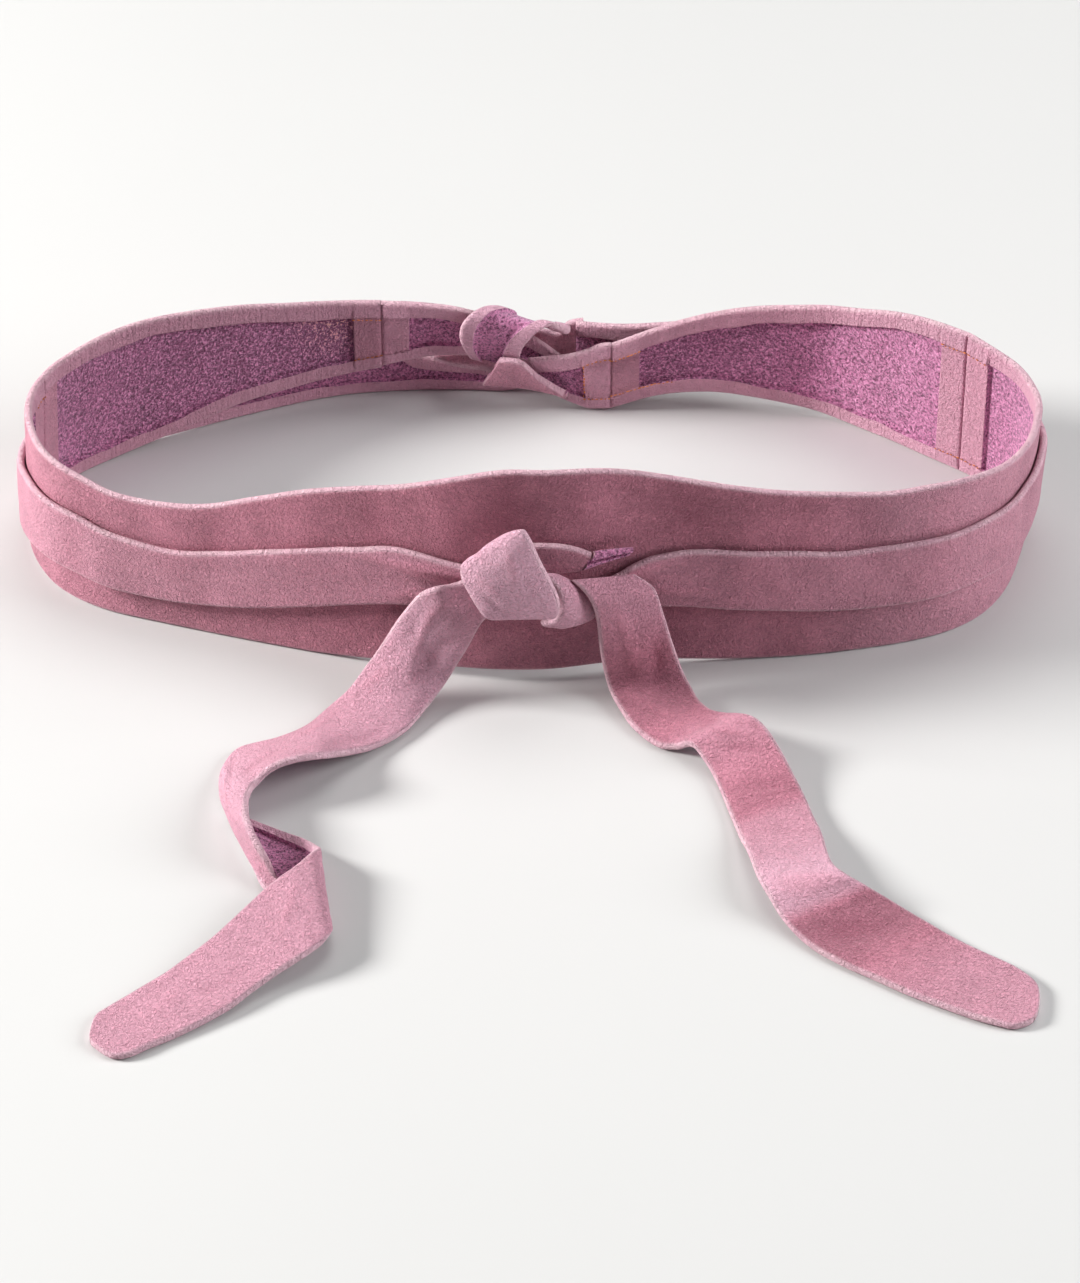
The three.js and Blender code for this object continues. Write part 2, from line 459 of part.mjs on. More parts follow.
// Stations of a piece that stands round the loop. seams: the ends sewn to a neighbour.
function standing(rows, seams = {}) {
  const start = rows[0].at + (seams.start ? SEAM_GAP : 0);
  const end = rows[rows.length - 1].at - (seams.end ? SEAM_GAP : 0);
  const stops = [];
  for (let at = Math.ceil(start / RING_STEP) * RING_STEP; at < end; at += RING_STEP) stops.push(at);
  const marks = [start, end];
  if (seams.start) marks.push(start + ALLOWANCE, start + ALLOWANCE + HEM_STEP);
  if (seams.end) marks.push(end - ALLOWANCE, end - ALLOWANCE - HEM_STEP);
  const kept = stops.filter((at) => marks.every((mark) => Math.abs(mark - at) > 1));
  return [...kept, ...marks].sort((a, b) => a - b).map((at) => {
    const { x, y, nx, ny } = around(at);
    const foot = Math.max(0, column(rows, 'foot', at));
    const top = column(rows, 'top', at);
    const lean = column(rows, 'lean', at);
    const off = rows[0].out === undefined ? 0 : column(rows, 'out', at);
    const point = (z) => [x + nx * (off + lean * z), y + ny * (off + lean * z), z];
    return {
      from: point(foot),
      to: point(top),
      out: new THREE.Vector3(nx, ny, 0),
      bow: 0,
      full: (seams.start && at <= start + ALLOWANCE) || (seams.end && at >= end - ALLOWANCE),
    };
  });
}

// Stations of a free stretch: the grain faces where its run crosses the line over it.
// back: the rows are taken from the last one; inside: they lie on the inside face.
function free(rows, { back = false, inside = false } = {}) {
  const lines = rows.map((row) => [...row.from, ...row.to, row.bow]);
  const cuts = [];
  for (let k = 0; k + 1 < lines.length; k += 1) {
    for (let i = 0; i < ROW_PARTS; i += 1) cuts.push(between(lines, k, i / ROW_PARTS));
  }
  cuts.push(lines[lines.length - 1]);
  if (back) cuts.reverse();
  const middle = (c) => new THREE.Vector3(c[0] + c[3], c[1] + c[4], c[2] + c[5]).divideScalar(2);
  return cuts.map((c, i) => {
    const run = middle(cuts[Math.min(i + 1, cuts.length - 1)]).sub(middle(cuts[Math.max(i - 1, 0)]));
    const across = new THREE.Vector3(c[3] - c[0], c[4] - c[1], c[5] - c[2]);
    const out = run.cross(across).normalize();
    const edge = (k) => {
      const p = new THREE.Vector3(c[k], c[k + 1], c[k + 2]);
      return p.addScaledVector(out, inside ? DOUBLED : 0).toArray();
    };
    return { from: edge(0), to: edge(3), out, bow: c[6], full: false };
  });
}

const belt = new THREE.Group();
belt.name = 'wrap_belt';
function add(name, stations, hem, colour = 0xcf9fb0) {
  const material = new THREE.MeshStandardMaterial({ color: colour, roughness: 0.82, metalness: 0 });
  const mesh = new THREE.Mesh(strip(stations, hem), material);
  mesh.name = name;
  belt.add(mesh);
}

add('centre_panel', standing(CENTRE_PANEL, { start: true, end: true }), PANEL_HEM);
add('right_wing', standing(RIGHT_WING, { start: true, end: true }), PANEL_HEM);
add('left_wing', standing(LEFT_WING, { start: true, end: true }), PANEL_HEM);
add('right_band', standing(RIGHT_BAND), TIE_HEM);
add('left_band', standing(LEFT_BAND), TIE_HEM);
add('left_tie_start', free(LEFT_TIE_START, { back: true }), TIE_HEM);
add('left_tie_turn', free(LEFT_TIE_TURN), TIE_HEM);
add('right_tie_start', free(RIGHT_TIE_START, { inside: true }), TIE_HEM);
add('right_tie_flap', free(RIGHT_TIE_FLAP, { back: true }), TIE_HEM);
add('right_tie_wrap', free(RIGHT_TIE_WRAP, { inside: true }), TIE_HEM);
add('right_tie_turn', free(RIGHT_TIE_TURN, { back: true }), TIE_HEM);
add('knot_face', free(KNOT_FACE), TIE_HEM);
add('knot_loop', free(KNOT_LOOP), TIE_HEM);
add('knot_under', free(KNOT_UNDER, { back: true }), TIE_HEM);
add('knot_fold', free(KNOT_FOLD, { back: true, inside: true }), TIE_HEM);
add('left_tail', free(LEFT_TAIL), TIE_HEM);
add('left_tail_end', free(LEFT_TAIL_END), TIE_HEM);
add('right_tail', free(RIGHT_TAIL), TIE_HEM);

export default belt;
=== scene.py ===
import math

import bpy
import numpy as np
from bpy.props import (
    FloatProperty, FloatVectorProperty, IntProperty, PointerProperty,
)
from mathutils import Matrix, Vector


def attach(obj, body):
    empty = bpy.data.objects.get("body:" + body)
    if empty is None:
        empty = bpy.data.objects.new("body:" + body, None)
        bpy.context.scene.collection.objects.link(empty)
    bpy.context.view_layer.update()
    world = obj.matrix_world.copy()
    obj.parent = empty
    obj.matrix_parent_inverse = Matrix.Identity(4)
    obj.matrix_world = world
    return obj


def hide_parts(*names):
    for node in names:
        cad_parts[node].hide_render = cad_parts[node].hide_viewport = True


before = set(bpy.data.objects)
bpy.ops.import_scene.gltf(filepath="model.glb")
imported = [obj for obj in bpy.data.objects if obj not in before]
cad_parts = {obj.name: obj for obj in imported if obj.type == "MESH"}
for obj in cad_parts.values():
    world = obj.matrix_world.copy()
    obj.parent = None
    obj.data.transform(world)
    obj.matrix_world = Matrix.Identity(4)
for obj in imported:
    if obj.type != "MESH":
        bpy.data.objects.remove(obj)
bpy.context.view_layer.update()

bl_info = {
    "name": "Leather wrap belt",
    "version": (1, 0, 0),
    "blender": (4, 5, 0),
    "location": "3D View > Sidebar > Belt",
    "description": "Builds a nubuck wrap belt, tied into a loop and knotted in front",
    "category": "Add Mesh",
}

# Millimetres throughout the tables. The ring's middle sits at PLACE in the frame.
MM = 0.001
PLACE = (3.2, 82.48)
LEATHER = 1.2          # one thickness
DOUBLED = 2.4          # leather with its turned hem or seam allowance
PANEL_HEM = 6.0
TIE_HEM = 5.4
ALLOWANCE = 9.0
SEAM_GAP = 0.03
TOP_WAVE = 0.3         # unevenness of a standing piece's top edge
EDGE_ROLL = 1.15       # how far in from an edge its rounding reaches
CUT_STEP = 0.22        # run of the step from a hem's raw edge down to the suede
CUT_HALF = 0.08        # where that step is halfway down
FOOT_HEM_SHARE = 0.86  # the foot's hem against the top's
HEM_WAVE = 0.45        # unevenness of a hem's raw edge, and its rise over an allowance
HEM_STEP = 0.1         # how far the grain sinks past a hem
HEM_MOST = 0.36        # a hem's largest share of the width
ROLL_MOST = 0.22
SHOULDER = 1.8         # over how far the grain sinks past a hem
FINE_NAP = 0.05
SINK_DEPTH = 0.4       # how far a seam pulls the leather in
SINK_REACH = 0.9
SINK_BEHIND = 1.6      # how much further the inside is pulled in at a seam
FREE_ALLOWANCE = 8.65  # allowance on the ties, to its raw edge
FREE_MARKS = np.array([8.2, 8.6, 8.8, 9.2])  # where stations stand close, about that raw edge
FREE_REACH = 0.24      # how far a tie is drawn on towards its seam
TIP_WIDTH = 0.12       # a tail's width at its very tip, as a share
WEAR_AND_SHEEN_REACH = 0.9       # how far in from an edge the worn colour and the painted sheen reach
HEM_ON_ALLOWANCE = 0.6
FREE_FOLD_DEPTH = 1.2  # depth of the free stretches' folds against their table
GROUND_CLEAR = 0.02
LAPS_AFTER = 560       # from this distance on, a band lies over the start of the loop
PLAN_PARTS = 24        # parts of the plan from one point to the next
PLAN_REACH = 2         # how far on either side the plan's direction is taken

# Plan of the loop, on the outer face at the ground: x, y.
PLAN = (
    (0, -76.5), (30, -70.5), (60, -67.5), (90, -63.5), (115, -57.5), (131, -49), (141.5, -36),
    (148, -18), (151.5, 0), (148, 14), (137.5, 26), (123.5, 37), (107.5, 49), (90, 58.5), (66, 61.5),
    (40, 62), (16, 62.5), (-20, 67), (-50, 66.5), (-70, 63.5), (-92, 56), (-115, 46), (-135, 36),
    (-150, 24), (-157.5, 11), (-159, -4), (-155.5, -19), (-147, -33), (-134, -42.5), (-115, -49.5),
    (-88, -58), (-60, -66), (-30, -74),
)
# Standing pieces: distance round the loop, foot, top, lean, and how far out from the plan.
CENTRE_PANEL = (
    (-203, 0.4, 49, -0.06, 0), (-192, 0.1, 49, -0.04, 0), (-177, 0.1, 49, -0.03, 0),
    (-162, 0.05, 50, 0, 0), (-147, 0, 49, 0, 0), (-132, 0, 46.2, 0, 0), (-117, 0, 46.3, 0, 0),
    (-102, 0, 48.8, 0, 0), (-87, 0, 55, 0, 0), (-72, 0, 61, 0, 0), (-57, 1, 65, 0, 0),
    (-42, 2.4, 68.8, 0, 0), (-27, 3.2, 73.8, 0, 0), (-12, 3.6, 77.8, 0, 0), (0, 3.6, 78, 0, 0),
    (15, 3.4, 76.6, 0, 0), (30, 2.6, 73.2, 0, 0), (45, 1.6, 69, 0, 0), (60, 0.6, 65.2, 0, 0),
    (75, 0, 62, 0, 0), (90, 0, 60.2, 0, 0), (105, 0, 58.3, 0, 0), (120, 0, 58, 0, 0),
    (135, 0, 56.2, 0, 0), (150, 0.2, 53.5, 0.03, 0), (165, 0.2, 52, 0.06, 0), (180, 0.2, 51.6, 0.05, 0),
    (195, 0.2, 51.2, 0.01, 0), (210, 0, 51.4, 0, 0), (225, 0, 52.6, 0, 0),
)
RIGHT_WING = (
    (225, 0, 52.6, 0, 0), (240, 0, 51.6, 0, 0), (255, 0, 48.4, 0, 0), (270, 0.6, 44.4, 0, 0),
    (285, 3, 41.8, 0, 0), (300, 5.6, 40.4, 0, 0), (315, 7.2, 37.4, 0, 0), (330, 5.8, 32.6, 0, 0),
    (345.4, 0.6, 26, 0, 0),
)
LEFT_WING = (
    (419, 13.6, 39.2, 0, 0), (435, 11.4, 40.4, 0, 0), (450, 9.6, 42.6, 0, 0), (465, 8.2, 45.5, 0, 0),
    (480, 5.2, 47.6, 0, 0), (495, 2.4, 48.8, 0, 0), (510, 0.5, 49, -0.02, 0), (525, 0.2, 49, -0.05, 0),
    (543, 0.4, 49, -0.06, 0),
)
RIGHT_BAND = (
    (9, 29.2, 35.8, 0, 3), (15, 28, 37, 0, 3), (22, 26.8, 38.8, 0, 3), (28, 25.6, 41.6, 0, 2.8),
    (34, 24.7, 43.8, 0, 2.8), (45, 23.6, 44.8, 0, 2.7), (60, 21.4, 43.4, 0, 2.7),
    (75, 19.6, 41.6, 0, 2.7), (90, 18, 40, 0, 2.7), (105, 17.3, 39.9, 0, 2.7), (120, 17.4, 40, 0, 2.7),
    (135, 17.6, 40, 0, 2.7), (150, 16.8, 39.4, 0.03, 2.7), (165, 16, 38.8, 0.06, 2.7),
    (180, 15, 38.4, 0.05, 2.7), (195, 14, 38, 0.01, 2.7), (225, 12.6, 37, 0, 2.8),
    (255, 11.6, 36, 0, 3), (285, 9.6, 34.4, 0, 4), (305, 8, 32, 0, 5.5), (322, 6.4, 29.6, 0, 7),
    (338, 4.4, 28.2, 0, 7.6), (357.4, 4, 28, 0, 8.2),
)
LEFT_BAND = (
    (363, 2, 11.4, 0, 12), (369, 1.2, 10.6, 0, 10.4), (375, 0.5, 9.6, 0, 7.8), (381, 0.2, 9.2, 0, 5.8),
    (388, 0.1, 11.2, 0, 5.6), (398, 0.1, 12.2, 0, 5.6), (408, 0.1, 14.6, 0, 5.6), (416, 0, 20, 0, 5.5),
    (428, 0, 24, 0, 5.2), (445, 0, 24.4, 0, 4.4), (465, 0.2, 24.6, 0, 3.6), (490, 0.6, 25, 0, 2.8),
    (510, 1, 25.2, -0.02, 2.7), (525, 1.8, 26, -0.05, 2.7), (540, 3.4, 27.6, -0.06, 2.7),
    (555, 6, 30, -0.04, 2.7), (570, 9, 33, -0.03, 2.7), (585, 12, 35, 0, 2.7), (600, 12.6, 35, 0, 2.7),
    (615, 11.2, 32.2, 0, 2.7), (630, 11.2, 31, 0, 2.7), (645, 12.6, 33.2, 0, 2.7),
    (660, 15.4, 37, 0, 2.7), (675, 19.2, 41, 0, 2.7), (690, 23.2, 44.6, 0, 2.7),
    (705, 26.6, 47.2, 0, 2.7), (720, 27.6, 44.8, 0, 2.7), (729, 28.4, 43, 0, 2.7),
)
# Free stretches: x, y, z of the first edge, x, y, z of the second edge, and the bow of the middle.
LEFT_TIE_START = (
    (-50.45, 66.5, 14.2, -50.4, 66.45, 39.2, 0), (-43.3, 67.5, 15.7, -42.8, 66.3, 39, 0),
    (-35.3, 68.5, 16.6, -34.9, 66.3, 38.4, 0), (-28.2, 69, 17, -27.9, 66.3, 37.3, 0),
    (-20.8, 69.4, 16.3, -20.7, 66.6, 35.1, 0), (-13.5, 70, 13.9, -13.4, 67.6, 31.7, 0),
    (-5.8, 70.8, 10.6, -6.4, 69, 26.8, 0), (1.6, 71.3, 7, 0, 70.2, 21.3, 0),
    (7.4, 71.6, 3.6, 6.4, 71, 15.2, 0),
)
RIGHT_TIE_START = (
    (22.5, 59.6, 0.7, 22.5, 59.65, 26, 0), (19.3, 59.5, 0.5, 19.1, 59.6, 25.7, 0),
    (15.4, 59.6, 0.5, 14.3, 59.7, 23.3, 0), (11.9, 60.2, 1.6, 8, 60, 21.1, 0),
    (8.4, 61, 2.8, 1.6, 60.8, 19.7, 0), (4.8, 61.8, 4.4, -4.1, 61.4, 18.5, 0),
)
RIGHT_TIE_FLAP = (
    (8.6, 57.9, 5.9, 6.9, 57.1, 8, 0), (4.6, 58.8, 6.4, 2.6, 56.9, 11.8, 0.2),
    (0.3, 59.4, 7.2, -2, 57.2, 15.6, 0.4), (-4.8, 59.6, 8.2, -6, 57.4, 20.2, 0.5),
    (-10.9, 59.6, 8.8, -9.6, 57.6, 21.2, 0.4), (-18.4, 59.6, 9.4, -12.6, 58, 21, 0),
)
RIGHT_TIE_WRAP = (
    (-23, 63.8, 18, -7, 63.6, 12.2, 0), (-25.2, 61.4, 24.2, -7, 61.2, 17.2, 0),
    (-25.7, 59.6, 28.8, -5.6, 59.4, 23.8, 0.3), (-25, 58.8, 33.3, -2.4, 58.6, 29.4, 0.5),
    (-23.4, 59.4, 36.3, 0.9, 59, 32.6, 0.5), (-20.6, 61.8, 38.5, 4.4, 61, 33.6, 0.4),
    (-16.5, 65.4, 37.9, 7.6, 64, 31, 0.2), (-12.7, 68.6, 34.9, 9.8, 67.2, 27.2, 0),
    (-11.6, 71.6, 31, 10, 70.4, 26.4, 0),
)
RIGHT_TIE_TURN = (
    (-11.9, 65.6, 11.6, -12.2, 69.2, 12.7, 0), (-16.7, 65.2, 12.8, -17.3, 69.2, 14.5, 0.2),
    (-23.1, 65.2, 13.4, -23.1, 69.2, 16, 0.3), (-28.9, 66.2, 13.9, -28.9, 69.4, 16.3, 0.2),
    (-34, 68, 15.4, -34, 69.6, 16, 0),
)
LEFT_TIE_TURN = (
    (-4.6, 71.3, 17.4, -3.8, 71, 24.4, 0), (0.3, 71.3, 15.8, 1.6, 71.6, 23, 0),
    (5.5, 71.5, 14.1, 6.1, 72, 21.9, 0.3), (9.6, 72, 9.8, 9.3, 72.8, 25.2, 0.3),
    (14, 72.7, 5.4, 14, 73.4, 26, 0),
)
KNOT_FACE = (
    (-19.3, -82.4, 46, -9.4, -82.4, 52.7, 0), (-21.6, -84.6, 50.7, -8.4, -85, 61.3, 0.6),
    (-23.5, -88, 52.2, -5.8, -88.5, 66.8, 1.4), (-23.1, -89.5, 48.2, -2.9, -90.5, 63.8, 2.2),
    (-21, -90.5, 43.8, 0, -91, 56.4, 2.4), (-18.7, -91, 39.3, 2.9, -91.5, 49.8, 2),
    (-16.7, -91, 35.6, 5.3, -91.5, 43.5, 1.4), (-15, -90, 33.7, 5.9, -90.4, 37.7, 0.8),
    (-13.8, -87.4, 32.3, 5, -87.8, 32.6, 0.3),
)
KNOT_LOOP = (
    (0.3, -83.4, 46.4, 6.5, -80.8, 43.6, 0.4), (2.9, -85.6, 45.9, 9.4, -80.8, 41.5, 0.8),
    (5.3, -86.8, 43.1, 12.7, -80.8, 38, 1), (6.3, -87.2, 38.6, 15.3, -80.8, 33.5, 1),
    (6, -87, 33.5, 16.9, -80.8, 28.2, 0.8), (3.5, -86.2, 29.5, 13.3, -82.4, 26.4, 0.5),
    (0.3, -85.2, 27.9, 7.7, -83.2, 25, 0.2),
)
KNOT_UNDER = (
    (11.8, -78.7, 42.7, 15.3, -78.5, 49.1, 0), (7.6, -79.1, 42.3, 11.4, -78.9, 51.2, 0),
    (2.4, -79.3, 42, 5.9, -79.1, 52.7, 0), (-3.5, -79.5, 41.8, -1.2, -79.3, 53.2, 0),
    (-9.4, -79.6, 41.9, -8.2, -79.5, 53, 0),
)
KNOT_FOLD = (
    (12.6, -79, 43.3, 16.4, -78.8, 49.5, 0), (18.5, -78, 45.1, 21.4, -77.8, 49.6, 0),
    (25.9, -77, 47.5, 27.6, -76.8, 49.4, 0),
)
LEFT_TAIL = (
    (-19.4, -81.1, 42.7, -12.1, -82.6, 31.1, 0), (-24.7, -81.6, 40.9, -16.5, -84, 28.5, 0.4),
    (-30.2, -85, 41.7, -20.4, -85.5, 21.3, 0.6), (-35.9, -84, 37.9, -24.6, -85.4, 12.8, 0.6),
    (-41.4, -82, 28.4, -28.6, -86, 5.2, 0.6), (-46.6, -80, 18, -33.8, -93.8, 3.2, 0.6),
    (-51.8, -82, 10.8, -39.9, -103, 2.8, 0.6), (-56.5, -87, 6.8, -47.7, -110.4, 3.6, 0.6),
    (-62.4, -90.7, 2.6, -57, -117.9, 7.3, 0.8), (-69.3, -99.8, 2.4, -64.5, -125.4, 12.9, 0.8),
    (-76.2, -104.6, 2.2, -71.9, -129.3, 14.7, 0.8), (-83.1, -107.3, 2.2, -78.1, -132.4, 13.9, 0.8),
    (-89.5, -110.5, 2.2, -82.4, -135.9, 11.6, 0.8), (-93.2, -118.2, 2.2, -84.4, -142.5, 13.1, 0.8),
    (-94, -125.9, 2.2, -85.1, -149.6, 14.3, 0.8), (-93, -133.9, 2.2, -84.8, -156.6, 14.3, 0.8),
    (-89.9, -144.3, 2.4, -82.6, -162.4, 12.5, 0.8), (-86.5, -154.2, 2.6, -79.7, -166.3, 9.5, 0.4),
    (-82.9, -164.1, 3.4, -77.1, -168.5, 6.5, 0), (-80, -171, 3.8, -74.9, -170.2, 4.6, 0),
    (-76.6, -176.5, 3.6, -72, -173.6, 4.4, 0),
)
LEFT_TAIL_END = (
    (-85.2, -141.2, 0.1, -72.9, -172, 0.1, 0), (-79.2, -144.5, 0.3, -69.4, -176.2, 0.1, 0),
    (-72.1, -149.3, 1.4, -65.5, -180.3, 0.3, 0), (-66.7, -153.3, 3, -61.7, -184.6, 0.8, 0),
    (-63.6, -157.3, 5.4, -58.9, -189.7, 2.4, 0), (-62.8, -161.8, 8.6, -58.1, -194.1, 5.2, 0),
    (-65.1, -166.3, 11, -59.3, -198.3, 7.2, 0.2), (-69.2, -171.6, 11.2, -63.4, -203.1, 7.4, 0.4),
    (-74.2, -176.1, 10.2, -68.5, -207.2, 6.6, 0.4), (-78.6, -180, 8.8, -73.7, -210.8, 5.4, 0.4),
    (-83.4, -185.7, 7.5, -78.9, -215.2, 4.2, 0.4), (-90.4, -194.1, 6, -85.2, -221.6, 3.4, 0.3),
    (-97.4, -201.3, 4.6, -91.6, -226.6, 2.8, 0.3), (-104.8, -208.4, 3.6, -98.6, -231.5, 2.5, 0.2),
    (-112.3, -214.7, 3, -105.7, -235.9, 2.5, 0.2), (-119.1, -220.4, 2.6, -112.6, -240.2, 2.5, 0.1),
    (-123.3, -224.7, 2.5, -117.8, -240.6, 2.5, 0), (-125.1, -229.9, 2.5, -122.3, -238.2, 2.5, 0),
)
RIGHT_TAIL = (
    (9.7, -83.4, 43.8, 28.3, -76.4, 40.5, 0), (14.1, -85, 39.1, 34, -76.6, 35.4, 0.4),
    (16.8, -85, 30.8, 36.7, -78.6, 27.9, 0.5), (18.1, -85.5, 17.1, 39.5, -81, 18.1, 0.5),
    (20.2, -86, 6, 42.3, -81.7, 9, 0.5), (22.6, -90.6, 3.6, 45.6, -86.2, 5, 0.5),
    (27.2, -100.2, 2.8, 47.5, -90.8, 4.6, 0.5), (33.9, -108.3, 2.6, 50.9, -96, 5.4, 0.5),
    (38.8, -110.5, 3.4, 54.9, -100.5, 8, 0.5), (42, -112, 5.8, 58.8, -104.4, 11, 0.5),
    (44.3, -114, 6.6, 62.2, -107.6, 12.6, 0.4), (47.2, -117.5, 5, 66, -111.4, 11.6, 0.4),
    (51.1, -125.2, 2.9, 70.7, -118.6, 8.2, 0.4), (55.4, -142, 3, 76.2, -131.4, 4.6, 0.2),
    (57.4, -152, 4.6, 79, -142, 4.4, 0.2), (59.2, -160.5, 7, 81, -152.1, 6.5, 0.2),
    (61.6, -173.3, 8.5, 82.8, -167.6, 9.5, 0.2), (64.4, -180.7, 7.5, 86.4, -174.1, 10, 0.2),
    (68.8, -187.9, 4.5, 92.9, -176.9, 7.5, 0.2), (75.3, -195.8, 3, 100.2, -179.9, 4.5, 0.2),
    (83.4, -202.8, 2.6, 107.9, -185.6, 3.2, 0.2), (92.6, -208.9, 2.5, 114.9, -191.3, 2.7, 0.2),
    (102.2, -215.4, 2.5, 121.6, -196.5, 2.5, 0.2), (112.2, -221.1, 2.5, 128.3, -201.1, 2.5, 0.1),
    (121.5, -225.9, 2.5, 134.1, -205.6, 2.5, 0), (128.8, -228.7, 2.5, 138.4, -211.3, 2.5, 0),
    (133.3, -230.3, 2.5, 139.9, -220.2, 2.5, 0),
)

# Seam lines inside the loop: table, first and last distance, edge (1 foot, 2 top), inset from it.
SEAM_LINES = (
    (CENTRE_PANEL, 217, 225, 2, -6.4), (RIGHT_WING, 225, 233.6, 2, -6.4), (CENTRE_PANEL, 217, 225, 1, 5.6),
    (RIGHT_WING, 225, 233.6, 1, 5.6), (RIGHT_WING, 336.5, 345, 2, -6.4), (RIGHT_WING, 326, 345, 1, 5.5),
    (LEFT_WING, 419.4, 428, 2, -6.4), (LEFT_WING, 419.4, 428, 1, 5.5), (CENTRE_PANEL, -202, -195, 2, -6.4),
)
GLUE_SPOT = (-0.0624, 0.144, 0.034)   # metres, where glue shows on the suede beside the left seam
GLUE_COLOUR = (0.95, 0.55, 0.50)
# Seam lines at the start of the right tie, point by point.
FREE_SEAM_LINES = (
    ((22.2, 59.1, 20.4), (18, 59.1, 19.8), (14, 59.2, 17.8)),
    ((14, 59.1, 17), (14, 59.1, 11), (14.2, 59, 5.2)),
    ((22.2, 59.1, 5.2), (18, 59.1, 5.1), (14.2, 59.1, 5.1)),
)

# The camera stands where the photo was taken.
CAMERA_ELEVATION = 39    # degrees
CAMERA_DISTANCE = 1.5    # metres from the place it looks at, on the ground
CAMERA_LOOKS = (0, -58)  # that place, from the ring's middle, in millimetres
CAMERA_LENS = 138.98     # millimetres, on a sensor 36 high

# Folds, listed one by one. Round the loop: distance and height of both ends, half width, height of the fold.
LOOP_FOLDS = (
    (-150, 2, -141, 50, 7, -0.5), (-118, 50, -110, 20, 9, 0.5), (-97, 52, -104, 8, 6, -0.5),
    (-70, 62, -78, 30, 9, 0.5), (-52, 66, -44, 38, 7, -0.5), (-30, 74, -26, 44, 6, 0.6),
    (-8, 79, -10, 50, 8, -0.5), (14, 77, 22, 46, 7, 0.55), (38, 72, 50, 44, 9, -0.5),
    (70, 64, 60, 26, 8, 0.45), (92, 61, 104, 30, 7, -0.45), (126, 58, 118, 12, 9, 0.5),
    (156, 54, 162, 20, 7, -0.4), (188, 52, 184, 10, 8, 0.35), (-182, 50, -176, 12, 8, 0.35),
    (-60, 4, -64, 18, 7, 0.4), (-12, 4, -18, 24, 9, 0.4), (34, 3, 40, 20, 8, -0.4),
    (86, 1, 78, 16, 7, 0.35), (250, 50, 258, 16, 8, 0.4), (284, 42, 292, 10, 7, -0.4),
    (318, 36, 310, 10, 7, 0.4), (448, 42, 440, 14, 7, -0.4), (480, 47, 490, 14, 9, 0.4),
    (516, 49, 508, 12, 7, -0.4),
)
# On the bands themselves, only outward: distance and height of both ends, half width, height.
LEFT_BAND_FOLDS = (
    (690, 43.4, 729, 40.5, 2.3, 1.1), (698, 31, 728, 33, 2.4, 0.6), (704, 40, 729, 36, 1.6, 0.4),
    (676, 36, 700, 37, 3.4, 0.3), (640, 30, 652, 16, 4, 0.3), (604, 33, 612, 16, 5, 0.3),
    (566, 30, 560, 12, 5, 0.3),
)
RIGHT_BAND_FOLDS = (
    (10, 34.2, 40, 42.6, 2.2, 1.1), (24, 32, 52, 30, 2.6, 0.6), (26, 36, 46, 36, 1.6, 0.4),
    (66, 38, 78, 24, 4, 0.3), (108, 36, 116, 20, 5, 0.3), (150, 36, 144, 20, 5, 0.3),
    (228, 34, 236, 18, 5, 0.3),
)
# On the free stretches: run along and distance across of both ends, half width, height.
FREE_FOLDS = {
    "knot_face": (
        (3, 4, 10, 17, 2.2, 0.5), (8, 3, 15, 11, 1.6, -0.35), (14, 19, 27, 15, 2, 0.4),
        (17, 6, 29, 9, 2.2, 0.35), (24, 4, 36, 8, 1.6, -0.35), (5, 21, 12, 22, 1.4, -0.3),
    ),
    "knot_loop": (
        (2, 4, 16, 6, 1.8, 0.4), (6, 9, 20, 8, 1.6, -0.3),
    ),
    "left_tail": (
        (6, 4, 34, 12, 2.4, 0.45), (12, 20, 40, 15, 2.6, -0.4), (38, 8, 56, 4, 2, 0.35),
        (50, 20, 70, 24, 2.2, -0.35), (62, 6, 84, 10, 2.6, 0.4), (84, 18, 104, 20, 2.4, -0.35),
        (100, 4, 112, 16, 2, -0.4), (108, 6, 124, 18, 1.8, 0.4), (118, 4, 132, 20, 1.6, -0.35),
    ),
    "left_tail_end": (
        (10, 6, 20, 24, 1.6, -0.3), (44, 6, 52, 22, 2.4, 0.35), (62, 22, 84, 16, 2.6, -0.25),
        (84, 8, 104, 14, 3, 0.25),
    ),
    "right_tail": (
        (8, 6, 34, 10, 2.6, 0.4), (22, 18, 44, 14, 2.4, -0.4), (44, 6, 60, 14, 2.4, 0.35),
        (60, 18, 74, 8, 2, -0.35), (72, 5, 84, 18, 1.6, 0.35), (80, 4, 90, 20, 1.5, -0.35),
        (95, 2, 101, 22, 0.8, -0.22), (97.6, 4, 103.6, 23, 0.9, -0.26), (100.4, 2, 106, 20, 0.8, -0.2),
        (102.8, 3, 109, 23, 0.8, -0.24), (105.4, 5, 111, 21, 0.9, -0.18), (118, 6, 126, 22, 1.8, -0.25),
        (128, 4, 142, 16, 2, 0.3), (146, 1, 151, 24, 4.5, 0.7), (164, 3, 172, 22, 5, -0.75),
        (180, 8, 204, 13, 3, 0.25),
    ),
    "right_tie_wrap": ((6, 6, 24, 9, 2.4, 0.3), (12, 18, 30, 15, 2.2, 0.3)),
}
